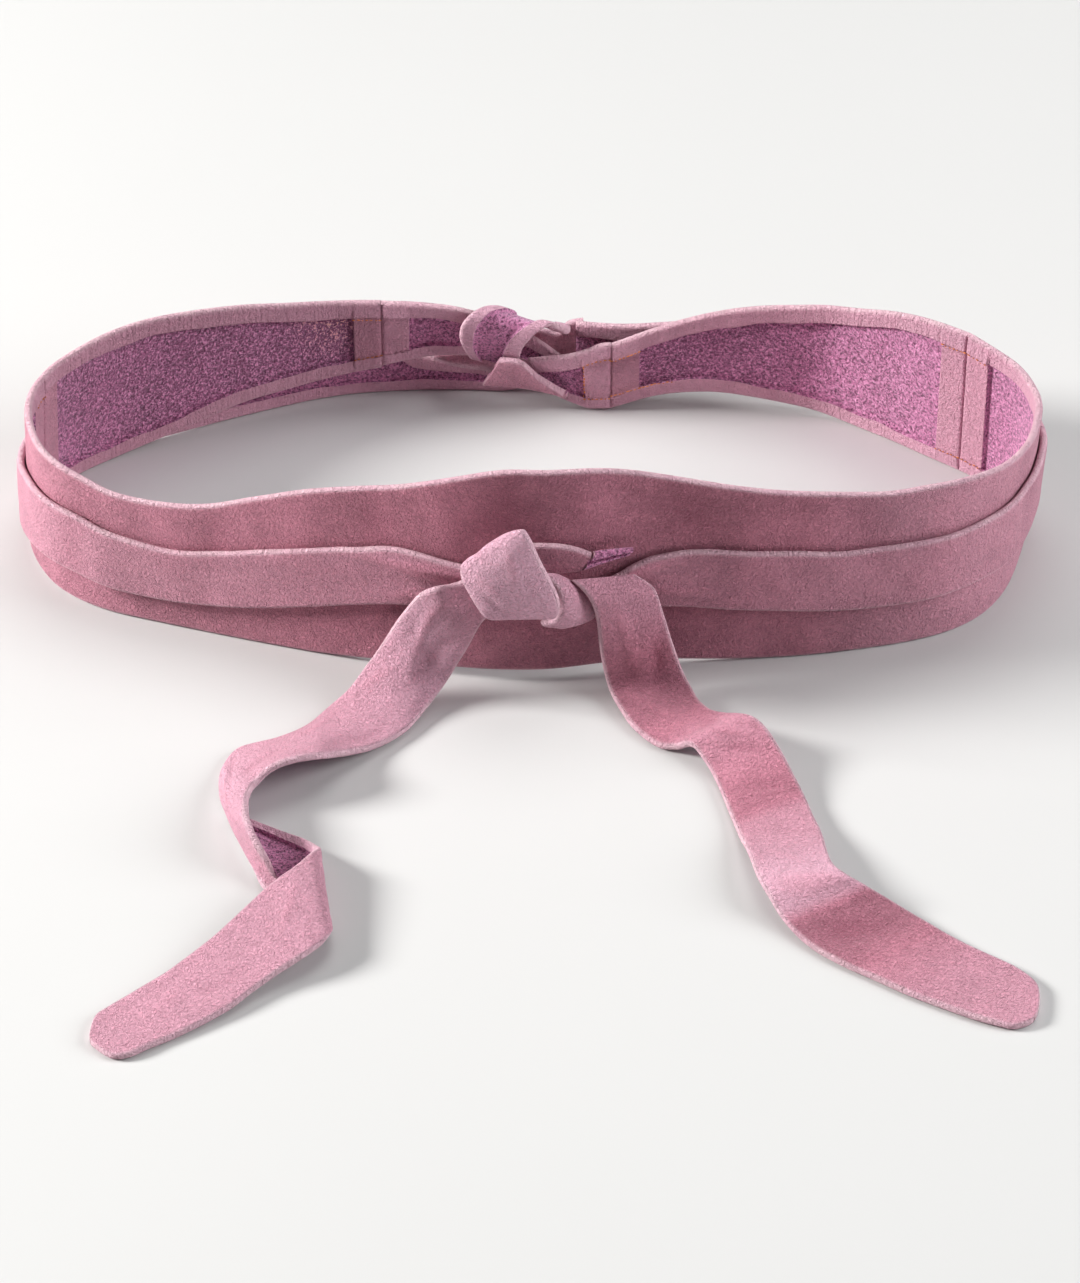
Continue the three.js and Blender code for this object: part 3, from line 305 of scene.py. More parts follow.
# How far handling has rubbed the nap lighter, or below 0 brushed it darker, with painted light in the same
# values: painted highlights where a slope or face turns to the key light, painted shade in a shaded fold and
# on the shaded inner walls. Run along and amount.
RUB_AND_PAINTED_LIGHT = {
    "centre_panel": ((-203, 0.1), (-110, 0.15), (-40, 0), (80, 0), (106, 0.4), (150, 0.5), (225, 0.6)),
    "right_wing": ((225, 0.7), (262, 0.6), (292, 0), (345, -0.45)),
    "left_wing": ((440, -0.6), (500, -0.35), (543, 0.1)),
    "right_band": ((9, 0.5), (60, 0.3), (140, 0.5)), "left_band": ((600, 0.5),),
    "knot_face": ((0, 1.3), (12, 1.55)), "knot_loop": ((0, 1.2),), "knot_under": ((0, 0.3),),
    "right_tie_wrap": ((0, 1.2),), "left_tail_end": ((0, 0.8),),
    "left_tail": ((0, 0.5), (12, 1.0), (24, 1.5), (40, 1.2), (60, 0.9), (90, 0.8), (108, 1.2), (135, 0.8)),
    "right_tail": (
        (0, 0.7), (14, 0.5), (28, 0.05), (40, -0.5), (52, -0.4), (62, 0.1), (72, 0.5), (82, 0.3),
        (96, 0), (105, -0.2), (112, 0.5), (132, 0.9), (146, 1.6), (154, 1.2), (160, -0.5), (172, -0.7),
        (184, 0.1), (200, 0.5), (227, 0.7),
    ),
}
RUB_AND_PAINTED_LIGHT_ELSEWHERE = ((0, 0.6),)


# Curves through the rows.
def hermite(p0, p1, m0, m1, f):
    """Smooth value at the fraction f between two values with their slopes."""
    f2, f3 = f * f, f * f * f
    return (2 * f3 - 3 * f2 + 1) * p0 + (f3 - 2 * f2 + f) * m0 + (3 * f2 - 2 * f3) * p1 + (f3 - f2) * m1


def column(rows, name, at):
    """Smooth values of one column of a table at distances round the loop."""
    x, y = rows[:, 0], rows[:, name]
    last = len(x) - 1
    before = np.maximum(np.arange(last + 1) - 1, 0)
    after = np.minimum(np.arange(last + 1) + 1, last)
    slope = (y[after] - y[before]) / (x[after] - x[before])
    k = np.clip(np.searchsorted(x, at, "left") - 1, 0, last - 1)
    span = x[k + 1] - x[k]
    f = np.clip((at - x[k]) / span, 0, 1)
    return hermite(y[k], y[k + 1], slope[k] * span, slope[k + 1] * span, f)


def between(points, k, f, closed=False):
    """Points of a smooth line through points, at step k and the fractions f of it."""
    count = len(points)
    pick = lambda i: points[i % count if closed else min(max(i, 0), count - 1)]
    a, b, c, d = pick(k - 1), pick(k), pick(k + 1), pick(k + 2)
    return hermite(b, c, (c - a) / 2, (d - b) / 2, f[:, None])


def make_ring():
    """The plan as a fine closed line, with the distance along it."""
    points = np.array(PLAN, float)
    f = np.arange(PLAN_PARTS) / PLAN_PARTS
    line = np.vstack([between(points, k, f, True) for k in range(len(points))])
    line = np.vstack([line, line[:1]])
    run = np.concatenate([[0], np.cumsum(np.hypot(*np.diff(line, axis=0).T))])
    return run, line


RING_RUN, RING_LINE = make_ring()
AROUND = RING_RUN[-1]


def around(at):
    """Places on the loop at the ground, with the outward direction there."""
    place = lambda r: np.stack([np.interp(r % AROUND, RING_RUN, RING_LINE[:, i]) for i in (0, 1)], 1)
    along = place(at + PLAN_REACH) - place(at - PLAN_REACH)
    along /= np.linalg.norm(along, axis=1)[:, None]
    return place(at), np.stack([along[:, 1], -along[:, 0]], 1)


def wobble(x, pitch, seed):
    """Smooth random values from -1 to 1 along x, about one to each pitch."""
    marks = np.random.default_rng(seed).uniform(-1, 1, 1024)
    t = np.asarray(x, float) / pitch + 512
    k = np.floor(t).astype(int)
    f = t - k
    f = f * f * (3 - 2 * f)
    return marks[k % 1024] * (1 - f) + marks[(k + 1) % 1024] * f


def folds(u, v, rows):
    """Height of soft folds, each a ridge or a trough that fades out at both ends."""
    total = np.zeros(np.broadcast(u, v).shape)
    for u0, v0, u1, v1, half, height in rows:
        du, dv = u1 - u0, v1 - v0
        t = ((u - u0) * du + (v - v0) * dv) / (du * du + dv * dv)
        near = np.clip(t, 0, 1)
        off = np.hypot(u - u0 - near * du, v - v0 - near * dv) / half
        total += height * np.sin(np.pi * (0.1 + 0.8 * near)) * np.exp(-off * off)
    return total


def sunk(distance):
    """How far the leather is pulled in at a distance from its seam."""
    return SINK_DEPTH * np.clip(1 - distance / SINK_REACH, 0, 1) ** 2


# Stations along a strip: the two edges on the grain face, the way the grain faces,
# the bow of the middle, how much it is doubled, and the run along it.
def standing(rows, start_seam, end_seam, step):
    """Stations of a piece that stands round the loop."""
    rows = np.array(rows, float)
    start = rows[0, 0] + (SEAM_GAP if start_seam else 0)
    end = rows[-1, 0] - (SEAM_GAP if end_seam else 0)
    marks = [start, end]
    close = (0.12, 0.3, 0.6, 1.0)
    allowance = (ALLOWANCE - 0.4, ALLOWANCE, ALLOWANCE + 0.2, ALLOWANCE + 0.6)
    if start_seam:
        marks += [start + x for x in close + allowance]
    if end_seam:
        marks += [end - x for x in close + allowance]
    stops = np.arange(math.ceil(start / step) * step, end, step)
    stops = stops[np.min(np.abs(stops[:, None] - np.array(marks)[None, :]), axis=1) > 0.35 * step]
    at = np.sort(np.concatenate([stops, marks]))
    place, normal = around(at)
    lean, off = column(rows, 3, at), column(rows, 4, at)
    edge = []
    for name, seed in ((1, 3), (2, 4)):
        z = column(rows, name, at)
        z = np.maximum(0, z) if name == 1 else z + TOP_WAVE * wobble(at, pitch=19, seed=seed)
        out = (off + lean * z)[:, None]
        edge.append(np.column_stack([place + normal * out, z]))
    full = np.zeros(len(at))
    sink = np.zeros(len(at))
    if start_seam:
        full[at <= start + ALLOWANCE + 0.05] = 1
        sink += sunk(at - start)
    if end_seam:
        full[at >= end - ALLOWANCE - 0.05] = 1
        sink += sunk(end - at)
    grain = np.column_stack([normal, 0 * at])
    return dict(first=edge[0], second=edge[1], grain=grain, bow=0 * at, full=full, sink=sink, run=at)


def free(rows, step, back=False, inside=False, tip=0, seam=None):
    """Stations of a free stretch of tie; the table lies on its suede side if inside is set."""
    lines = np.array(rows, float)
    cuts = []
    for k in range(len(lines) - 1):
        reach = max(
            np.linalg.norm(lines[k + 1, :3] - lines[k, :3]),
            np.linalg.norm(lines[k + 1, 3:6] - lines[k, 3:6]),
        )
        parts = max(3, int(math.ceil(reach / step)))
        cuts.append(between(lines, k, np.arange(parts) / parts))
    cuts = np.vstack(cuts + [lines[-1:]])
    if back:
        cuts = cuts[::-1]
    middle = (cuts[:, :3] + cuts[:, 3:6]) / 2
    run = np.concatenate([[0], np.cumsum(np.linalg.norm(np.diff(middle, axis=0), axis=1))])
    if seam is not None:
        marks = FREE_MARKS if seam == 0 else run[-1] - FREE_MARKS
        wanted = np.sort(np.concatenate([run, marks]))
        cuts = np.column_stack([np.interp(wanted, run, cuts[:, i]) for i in range(7)])
        run, middle = wanted, (cuts[:, :3] + cuts[:, 3:6]) / 2
        end, inner = (0, 3) if seam == 0 else (-1, -4)
        shift = middle[end] - middle[inner]
        cuts[end, :6] += np.tile(FREE_REACH * shift / np.linalg.norm(shift), 2)
    window = max(1, int(2.5 / step))
    along = np.array([
        middle[min(i + window, len(cuts) - 1)] - middle[max(i - window, 0)] for i in range(len(cuts))
    ])
    grain = np.cross(along, cuts[:, 3:6] - cuts[:, :3])
    grain /= np.linalg.norm(grain, axis=1)[:, None]
    lift = grain * (DOUBLED if inside else 0)
    first, second = cuts[:, :3] + lift, cuts[:, 3:6] + lift
    if tip:
        share = np.clip((run[-1] - run) / tip, 0, 1)
        narrow = TIP_WIDTH + (1 - TIP_WIDTH) * np.sqrt(1 - (1 - share) ** 2)
        centre, half = (first + second) / 2, (second - first) / 2
        first, second = centre - half * narrow[:, None], centre + half * narrow[:, None]
    full, sink = 0 * run, 0 * run
    if seam is not None:
        far = run if seam == 0 else run[-1] - run
        full[far < FREE_ALLOWANCE] = 1
        sink = sunk(far)
    return dict(first=first, second=second, grain=grain, bow=cuts[:, 6], full=full, sink=sink, run=run)


GRAIN, ROLL, HEM, CUT, INNER = range(5)


def section(width, hem, full, run, gather, pitch):
    """Columns across every station: distance from the first edge, depth behind the grain, and zone."""
    width, full, run = width[:, None], full[:, None], run[:, None]
    roll = np.minimum(EDGE_ROLL, ROLL_MOST * width)
    most = HEM_MOST * width
    fold_b = np.minimum(hem + HEM_WAVE * wobble(run, pitch=9, seed=11), most)
    fold_a = np.minimum(FOOT_HEM_SHARE * hem + HEM_WAVE * wobble(run, pitch=8, seed=12), most)
    inner_count = max(6, int(round((float(width.max()) - 2 * hem) / pitch)))
    inner = np.linspace(0, 1, inner_count + 1)
    hem_parts = np.array([0, 0.08, 0.2, 0.36, 0.54, 0.7, 0.84, 0.94, 1.0])
    s, d, zone = [], [], []

    def add(where, depth, mark):
        s.append(where + 0 * run)
        d.append(depth + 0 * run)
        zone.append(mark)

    def shoulder(x, fold):
        t = np.clip((x - fold + SHOULDER / 2) / SHOULDER, 0, 1)
        return HEM_STEP * t ** 2 * (3 - 2 * t)

    for t in hem_parts:
        x = roll + t * (fold_a - roll)
        add(x, shoulder(x, fold_a), GRAIN)
    for t in inner[1:-1]:
        x = fold_a + t * (width - fold_a - fold_b)
        add(x, shoulder(x, fold_a) * shoulder(width - x, fold_b) / HEM_STEP, GRAIN)
    for t in hem_parts[::-1]:
        x = width - roll - t * (fold_b - roll)
        add(x, shoulder(width - x, fold_b), GRAIN)
    turns = np.pi * np.arange(1, 6) / 6
    for a in turns:
        add(width - roll + roll * np.sin(a), DOUBLED / 2 * (1 - np.cos(a)), ROLL)
    inside = LEATHER + (DOUBLED - HEM_STEP - LEATHER) * full
    rise = HEM_WAVE * full
    halfway = inside + 0.5 * (DOUBLED + rise - inside)
    for t in hem_parts:
        pucker = gather * wobble(run, pitch=3.1, seed=21)
        add(width - roll - t * (fold_b - roll), DOUBLED + t * (rise + pucker), HEM)
    add(width - fold_b - CUT_HALF, halfway, CUT)
    add(width - fold_b - CUT_STEP, inside, CUT)
    for i, t in enumerate(inner[1:-1][::-1]):
        x = fold_a + CUT_STEP + t * (width - fold_a - fold_b - 2 * CUT_STEP)
        add(x, inside + FINE_NAP * wobble(run, pitch=1.7, seed=40 + i), INNER)
    add(fold_a + CUT_STEP, inside, CUT)
    add(fold_a + CUT_HALF, halfway, CUT)
    for t in hem_parts[::-1]:
        pucker = gather * wobble(run, pitch=2.7, seed=22)
        add(roll + t * (fold_a - roll), DOUBLED + t * (rise + pucker), HEM)
    for a in turns[::-1]:
        add(roll - roll * np.sin(a), DOUBLED / 2 * (1 - np.cos(a)), ROLL)
    return np.hstack(s), np.hstack(d), np.array(zone)


def strip(name, st, hem, relief, gather, materials, pitch=1.25, rub_and_light=0.0, raw=False):
    """Closed leather strip through its stations, hems turned in. Returns it, its flat size and its area."""
    across = st["second"] - st["first"]
    width = np.linalg.norm(across, axis=1)
    across /= width[:, None]
    grain = st["grain"] - across * np.sum(st["grain"] * across, axis=1)[:, None]
    grain /= np.linalg.norm(grain, axis=1)[:, None]
    s, d, zone = section(width, hem, st["full"], st["run"], gather, pitch)
    stations, columns = s.shape
    front = zone == GRAIN
    behind = (zone >= HEM) * (st["full"] > 0.5)[:, None]
    d = d + (front[None, :] - SINK_BEHIND * behind) * st["sink"][:, None]
    f = s / width[:, None]
    fold = relief(st["run"][:, None], s, st)
    lift = 4 * st["bow"][:, None] * f * (1 - f) + fold - d
    points = (
        st["first"][:, None, :] + across[:, None, :] * s[..., None] + grain[:, None, :] * lift[..., None]
    )
    points[..., 0] += PLACE[0]
    points[..., 1] += PLACE[1]
    points[..., 2] = np.maximum(points[..., 2], GROUND_CLEAR)
    index = np.arange(stations * columns).reshape(stations, columns)
    turn = np.roll(index, -1, axis=1)
    quads = np.stack([index[:-1], index[1:], turn[1:], turn[:-1]], -1).reshape(-1, 4)
    faces = quads.tolist()
    faces.append(index[0].tolist())
    faces.append(index[-1][::-1].tolist())
    mesh = bpy.data.meshes.new(name)
    mesh.from_pydata((points.reshape(-1, 3) * MM).tolist(), [], faces)
    least = ROLL if raw else CUT
    rough = (zone >= least) | (np.roll(zone, -1) >= least)
    doubled = (st["full"][:-1] > 0.5) & (st["full"][1:] > 0.5)
    slots = (rough[None, :] & ~doubled[:, None]).astype(np.int32).ravel()
    mesh.polygons.foreach_set("material_index", np.concatenate([slots, [0, 0]]).astype(np.int32))
    mesh.polygons.foreach_set("use_smooth", np.ones(len(faces), bool))
    run_map = mesh.uv_layers.new(name="run")
    where = np.column_stack([(st["run"][:, None] + 0 * s).ravel(), s.ravel()]) * MM
    corners = np.empty(len(mesh.loops), np.int32)
    mesh.loops.foreach_get("vertex_index", corners)
    run_map.data.foreach_set("uv", where[corners].astype(np.float32).ravel())
    near = np.minimum(s, width[:, None] - s)
    wear_and_sheen = np.exp(-(near / WEAR_AND_SHEEN_REACH) ** 2)
    # The edge marks carry real wear with a painted sheen; the rubbed marks carry rubbed nap with painted
    # highlights and painted shade.
    marks = {
        "edge_wear_and_sheen": wear_and_sheen,
        "fold_height": np.clip(fold, -1, 1),
        "rub_and_painted_light": np.full(s.shape, rub_and_light),
        "hem_zone": np.where((zone == HEM) | (zone == ROLL), 1.0, HEM_ON_ALLOWANCE * behind),
    }
    for key, values in marks.items():
        layer = mesh.attributes.new(key, "FLOAT", "POINT")
        layer.data.foreach_set("value", values.astype(np.float32).ravel())
    for material in materials:
        mesh.materials.append(material)
    mesh.validate()
    mesh.update()
    obj = bpy.data.objects.new(name, mesh)
    bpy.context.scene.collection.objects.link(obj)
    steps = np.diff(st["run"])
    area = float(np.sum(steps * (width[:-1] + width[1:]) / 2)) * MM * MM
    flat = (float(width.max()) * MM, float(abs(st["run"][-1] - st["run"][0])) * MM)
    return obj, flat, area


def put_on_belt(obj, node):
    """Puts a finished piece under the root body, and hides the part that it stands for."""
    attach(obj, "root")
    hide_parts(node)


def rub_and_light_along(name, run):
    """How light the nap of a piece is at each station: rubbed nap together with painted highlights and
    painted shade.
    """
    return np.interp(run, *zip(*RUB_AND_PAINTED_LIGHT.get(name, RUB_AND_PAINTED_LIGHT_ELSEWHERE)))[:, None]


def loop_relief(extra=()):
    """Relief of a piece of the loop: what lies over it follows the same folds."""
    def relief(at, s, st):
        z = st["first"][:, 2][:, None] + s
        lap = np.where(at > LAPS_AFTER, at - AROUND, at)
        under = folds(lap, z, LOOP_FOLDS)
        return under + (np.maximum(folds(at, z, extra), 0) if extra else 0)
    return relief


def free_relief(name, crumple=0.2):
    """Relief of a free stretch: its own folds, and a fine crumple."""
    rows = FREE_FOLDS.get(name, ())

    def relief(run, s, st):
        slant = wobble(run + 0.6 * s, pitch=5.3, seed=61)
        fine = crumple * slant * wobble(s - 0.3 * run, pitch=7.1, seed=62)
        return FREE_FOLD_DEPTH * folds(run, s, rows) + fine
    return relief


# Materials.
MIX_SHARE, MIX_FIRST, MIX_SECOND, MIXED = 0, 6, 7, 2   # a colour mix node's sockets


class Finish:
    """Adds and joins the shader nodes of one new material."""
    def __init__(self, name):
        self.material = bpy.data.materials.new(name)
        self.material.use_nodes = True
        self.tree = self.material.node_tree
        self.tree.nodes.clear()
        self.body = self.node("ShaderNodeTexCoord").outputs["Object"]

    def node(self, kind, **values):
        made = self.tree.nodes.new(kind)
        for key, value in values.items():
            if key.startswith("in_"):
                made.inputs[key[3:].replace("_", " ")].default_value = value
            else:
                setattr(made, key, value)
        return made

    def fill(self, made, sockets):
        """Sets each socket of a node to a number or colour, or joins another node's output to it."""
        for socket, value in sockets:
            if hasattr(value, "is_output"):
                self.tree.links.new(value, made.inputs[socket])
            else:
                made.inputs[socket].default_value = value

    def attribute(self, name):
        return self.node("ShaderNodeAttribute", attribute_name=name).outputs["Fac"]

    def noise(self, where, scale, detail, rough, stretch=None, turn=0.0, distortion=0.0):
        made = self.node("ShaderNodeTexNoise", in_Scale=scale, in_Detail=detail, in_Roughness=rough)
        made.inputs["Distortion"].default_value = distortion
        if stretch:
            mapping = self.node("ShaderNodeMapping", in_Scale=stretch, in_Rotation=(0, 0, turn))
            self.fill(mapping, [("Vector", where)])
            where = mapping.outputs["Vector"]
        self.fill(made, [("Vector", where)])
        return made.outputs["Fac"]

    def ramp(self, value, low, high, first=0.0, last=1.0):
        made = self.node("ShaderNodeMapRange", clamp=True)
        self.fill(made, (
            ("From Min", low), ("From Max", high), ("To Min", first), ("To Max", last), ("Value", value)))
        return made.outputs["Result"]

    def mix(self, share, a, b):
        made = self.node("ShaderNodeMix", data_type="RGBA", clamp_result=True)
        solid = lambda colour: colour if hasattr(colour, "is_output") else (*colour[:3], 1)
        self.fill(made, ((MIX_SHARE, share), (MIX_FIRST, solid(a)), (MIX_SECOND, solid(b))))
        return made.outputs[MIXED]

    def layers(self, colour, rows):
        """Lays colours one over another: each row has its share and its colour."""
        for share, over in rows:
            colour = self.mix(share, colour, over)
        return colour

    def times(self, a, b):
        made = self.node("ShaderNodeMath", operation="MULTIPLY")
        self.fill(made, ((0, a), (1, b)))
        return made.outputs[0]

    def bump(self, height, strength, distance, below=None):
        made = self.node("ShaderNodeBump", in_Strength=strength, in_Distance=distance)
        self.fill(made, [("Height", height)] + ([("Normal", below)] if below else []))
        return made.outputs["Normal"]

    def done(self, colour, rough, normal, **constants):
        """Ends the material in one surface shader, whose other sockets are constants."""
        shader = self.node("ShaderNodeBsdfPrincipled", **constants)
        self.fill(shader, (("Base Color", colour), ("Roughness", rough), ("Normal", normal)))
        self.fill(self.node("ShaderNodeOutputMaterial"), [("Surface", shader.outputs[0])])
        return self.material


def tone(colour, factor):
    """A lighter or darker tone of a colour."""
    return tuple(min(1.0, c * factor) for c in colour[:3])


def nubuck_material(settings):
    finish = Finish("grain_nubuck")
    noise, ramp, bump = finish.noise, finish.ramp, finish.bump
    base = tuple(settings.leather_colour)
    soft = tuple(settings.rubbed_and_lit_colour)
    deep = (0.55 * base[0], 0.33 * base[1], 0.42 * base[2])
    run = finish.node("ShaderNodeUVMap", uv_map="run").outputs["UV"]
    wear_and_sheen, height = finish.attribute("edge_wear_and_sheen"), finish.attribute("fold_height")
    hem, rub_and_painted_light = finish.attribute("hem_zone"), finish.attribute("rub_and_painted_light")
    cloud = noise(finish.body, 24, 4, 0.6)
    mottle = noise(finish.body, 130, 5, 0.66)
    worm = noise(finish.body, 1250, 3, 0.6, distortion=0.9)
    pore = noise(finish.body, 2300, 2, 0.6)
    scuff = noise(run, 1, 4, 0.7, (70, 900, 1), 0.45)
    hair = noise(run, 1, 2, 0.5, (120, 1500, 1), -0.6)
    crease = noise(run, 1, 4, 0.62, (420, 150, 1), 0.3)
    pucker = noise(run, 1, 3, 0.55, (760, 60, 1))
    colour = finish.layers(tone(base, 0.84), (
        (ramp(cloud, 0.35, 0.66), tone(base, 1.1)),
        (ramp(mottle, 0.5, 0.74, 0, 0.6), tone(base, 1.28)),
        (ramp(mottle, 0.48, 0.3, 0, 0.5), tone(base, 0.68)),
        # Rubbed nap with painted light: lighter where rubbed and where painted as lit, below 0 darker where
        # brushed and where painted shade lies.
        (finish.times(rub_and_painted_light, 0.62), soft),
        (ramp(rub_and_painted_light, 0, -1, 0, 0.9), tone(base, 0.5)),
        (ramp(worm, 0.5, 0.36, 0, 0.24), deep),
        (ramp(worm, 0.5, 0.66, 0, 0.3), tone(base, 1.6)),
        (ramp(pore, 0.42, 0.3, 0, 0.1), deep),
        (ramp(scuff, 0.62, 0.74, 0, 0.45), tone(base, 1.5)),
        (ramp(hair, 0.7, 0.76, 0, 0.35), tone(base, 1.5)),
        # Painted shade in the fold troughs and painted highlight on the fold ridges.
        (ramp(height, -0.1, -0.8, 0, 0.3), deep),
        (ramp(height, 0.15, 0.7, 0, 0.35), tone(base, 1.4)),
        # Hems and doubled allowances painted lighter: painted light, for the light that the inner hems and
        # patches catch.
        (finish.times(hem, 0.55), soft),
        # Lighter edges: real edge wear, with a painted sheen along the rolled edges.
        (finish.times(wear_and_sheen, ramp(mottle, 0.3, 0.65, 0.2, 0.7)), tuple(settings.edge_wear_and_sheen_colour)),
    ))
    normal = None
    for relief, strength, distance in (
        (worm, 1.0, 0.0015), (crease, 0.5, 0.0012), (mottle, 0.35, 0.0012), (pore, 0.35, 0.0003),
        (finish.times(pucker, ramp(hem, 0.7, 1.0)), 0.55, 0.0012),
    ):
        normal = bump(relief, strength, distance, normal)
    return finish.done(
        colour, ramp(mottle, 0.3, 0.7, 0.86, 0.66), normal, in_Sheen_Weight=0.22, in_Sheen_Roughness=0.4,
        in_Sheen_Tint=(1.0, 0.82, 0.86, 1), in_Specular_IOR_Level=0.25)


def suede_material(settings):
    finish = Finish("flesh_suede")
    noise, ramp = finish.noise, finish.ramp
    base = tuple(settings.suede_colour)
    light = (min(1.0, 1.9 * base[0]), 2.7 * base[1], 2.2 * base[2])
    run = finish.node("ShaderNodeUVMap", uv_map="run").outputs["UV"]
    rub_and_painted_light = finish.attribute("rub_and_painted_light")
    brushed = noise(finish.body, 55, 4, 0.6)
    clump = noise(finish.body, 1150, 3, 0.62, distortion=0.6)
    fibre = noise(run, 1, 3, 0.6, (1500, 900, 1), 0.5)
    gone = finish.node("ShaderNodeVectorMath", operation="DISTANCE")
    finish.fill(gone, ((0, finish.body), (1, GLUE_SPOT)))
    colour = finish.layers(tone(base, 0.8), (
        (ramp(brushed, 0.35, 0.66), tone(base, 1.15)),
        # Rubbed nap with painted light on the suede: lighter on inner walls painted as lit, below 0 painted
        # shade on the shaded walls at the back.
        (finish.times(rub_and_painted_light, 0.4), light),
        (ramp(rub_and_painted_light, 0, -1, 0, 0.9), tone(base, 0.35)),
        (ramp(clump, 0.5, 0.36, 0, 0.92), tone(base, 0.3)),
        (ramp(clump, 0.5, 0.64, 0, 0.85), light),
        (ramp(fibre, 0.58, 0.72, 0, 0.4), light),
        (finish.times(ramp(clump, 0.54, 0.62), ramp(gone.outputs["Value"], 0.016, 0.004)), GLUE_COLOUR),
    ))
    normal = finish.bump(fibre, 0.5, 0.0004, finish.bump(clump, 1.0, 0.0014))
    return finish.done(
        colour, ramp(clump, 0.3, 0.7, 0.98, 0.86), normal, in_Sheen_Weight=0.6, in_Sheen_Roughness=0.55,
        in_Sheen_Tint=(1.0, 0.78, 0.95, 1), in_Specular_IOR_Level=0.15)


def thread_material(settings):
    finish = Finish("seam_thread")
    base = tuple(settings.thread_colour)
    blot = finish.noise(finish.body, 900, 4, 0.7)
    colour = finish.mix(finish.ramp(blot, 0.3, 0.7), tone(base, 0.6), tone(base, 1.3))
    return finish.done(
        colour, finish.ramp(blot, 0.3, 0.7, 0.5, 0.8), finish.bump(blot, 0.4, 0.0002),
        in_Specular_IOR_Level=0.3)


def ground_material(settings):
    finish = Finish("studio_ground")
    base = tuple(settings.ground_colour)
    cloud = finish.noise(finish.body, 3, 3, 0.5)
    tooth = finish.noise(finish.body, 900, 2, 0.5)
    colour = finish.mix(finish.ramp(cloud, 0.3, 0.7), tone(base, 0.985), tone(base, 1.0))
    return finish.done(
        colour, finish.ramp(cloud, 0.3, 0.7, 0.7, 0.78), finish.bump(tooth, 0.05, 0.0001),
        in_Specular_IOR_Level=0.2)


def finish_named(name, build, settings):
    """The material of that name, built when it is first asked for."""
    return bpy.data.materials.get(name) or build(settings)


def leathers(settings):
    return [
        finish_named("grain_nubuck", nubuck_material, settings),
        finish_named("flesh_suede", suede_material, settings),
    ]


class BeltSettings(bpy.types.PropertyGroup):
    leather_colour: FloatVectorProperty(
        name="Leather", description="Colour of the grain side", subtype="COLOR", size=3,
        min=0, max=1, default=(0.60, 0.255, 0.335))
    # Lighter colour for rubbed nap and for painted highlights, also laid on the hems.
    rubbed_and_lit_colour: FloatVectorProperty(
        name="Rubbed leather", description="Colour of the grain side where handling has rubbed it",
        subtype="COLOR", size=3, min=0, max=1, default=(0.90, 0.56, 0.69))
    # Lighter colour of the edges, for edge wear and a painted sheen.
    edge_wear_and_sheen_colour: FloatVectorProperty(
        name="Worn edge", description="Colour of the rubbed folded edges", subtype="COLOR", size=3,
        min=0, max=1, default=(0.92, 0.68, 0.73))
    suede_colour: FloatVectorProperty(
        name="Suede", description="Colour of the flesh side", subtype="COLOR", size=3,
        min=0, max=1, default=(0.50, 0.165, 0.32))
    thread_colour: FloatVectorProperty(
        name="Seam marks", description="Colour of the thread and glue marks at the seams",
        subtype="COLOR", size=3, min=0, max=1, default=(0.66, 0.25, 0.10))
    ground_colour: FloatVectorProperty(
        name="Ground", description="Colour of the studio ground", subtype="COLOR", size=3,
        min=0, max=1, default=(0.64, 0.64, 0.635))
    step: FloatProperty(
        name="Spacing", description="Distance between sections along a strip, in millimetres",
        default=1.1, min=0.5, max=4)
    gather: FloatProperty(
        name="Hem gathers", description="Depth of the puckers in the turned hems, in millimetres",
        default=0.16, min=0, max=0.5)
    stitch_pitch: FloatProperty(
        name="Stitch pitch", description="Distance between the thread marks at the seams",
        default=0.0013, min=0.0004, max=0.01, unit="LENGTH")
    bead_radius: FloatProperty(
        name="Thread", description="Radius of one mark of thread", default=0.00034, min=0.0002, max=0.002,
        unit="LENGTH")
    stitch_seed: IntProperty(name="Stitch seed", description="Seed of the uneven thread marks", default=4)
    key_power: FloatProperty(
        name="Key light", description="Power of the main light", default=54, min=0, unit="POWER")


class BELT_OT_panel(bpy.types.Operator):
    """Builds the wide front panel and the two tapering wings"""
    bl_idname = "belt.panel"
    bl_label = "Panel and wings"

    def execute(self, context):
        settings = context.scene.belt
        for name, rows in (
            ("centre_panel", CENTRE_PANEL), ("right_wing", RIGHT_WING), ("left_wing", LEFT_WING),
        ):
            stations = standing(rows, True, True, settings.step)
            obj, flat, area = strip(
                name + "_leather", stations, PANEL_HEM, loop_relief(), settings.gather, leathers(settings),
                pitch=1.7, rub_and_light=rub_and_light_along(name, stations["run"]))
            put_on_belt(obj, name)
        return {"FINISHED"}


class BELT_OT_bands(bpy.types.Operator):
    """Builds the two ties where they are wound once more round the outside"""
    bl_idname = "belt.bands"
    bl_label = "Wound ties"

    def execute(self, context):
        settings = context.scene.belt
        for name, rows, extra in (
            ("right_band", RIGHT_BAND, RIGHT_BAND_FOLDS), ("left_band", LEFT_BAND, LEFT_BAND_FOLDS),
        ):
            stations = standing(rows, False, False, settings.step)
            obj, flat, area = strip(
                name + "_leather", stations, TIE_HEM, loop_relief(extra), 0.5 * settings.gather,
                leathers(settings), rub_and_light=rub_and_light_along(name, stations["run"]))
            put_on_belt(obj, name)
        return {"FINISHED"}


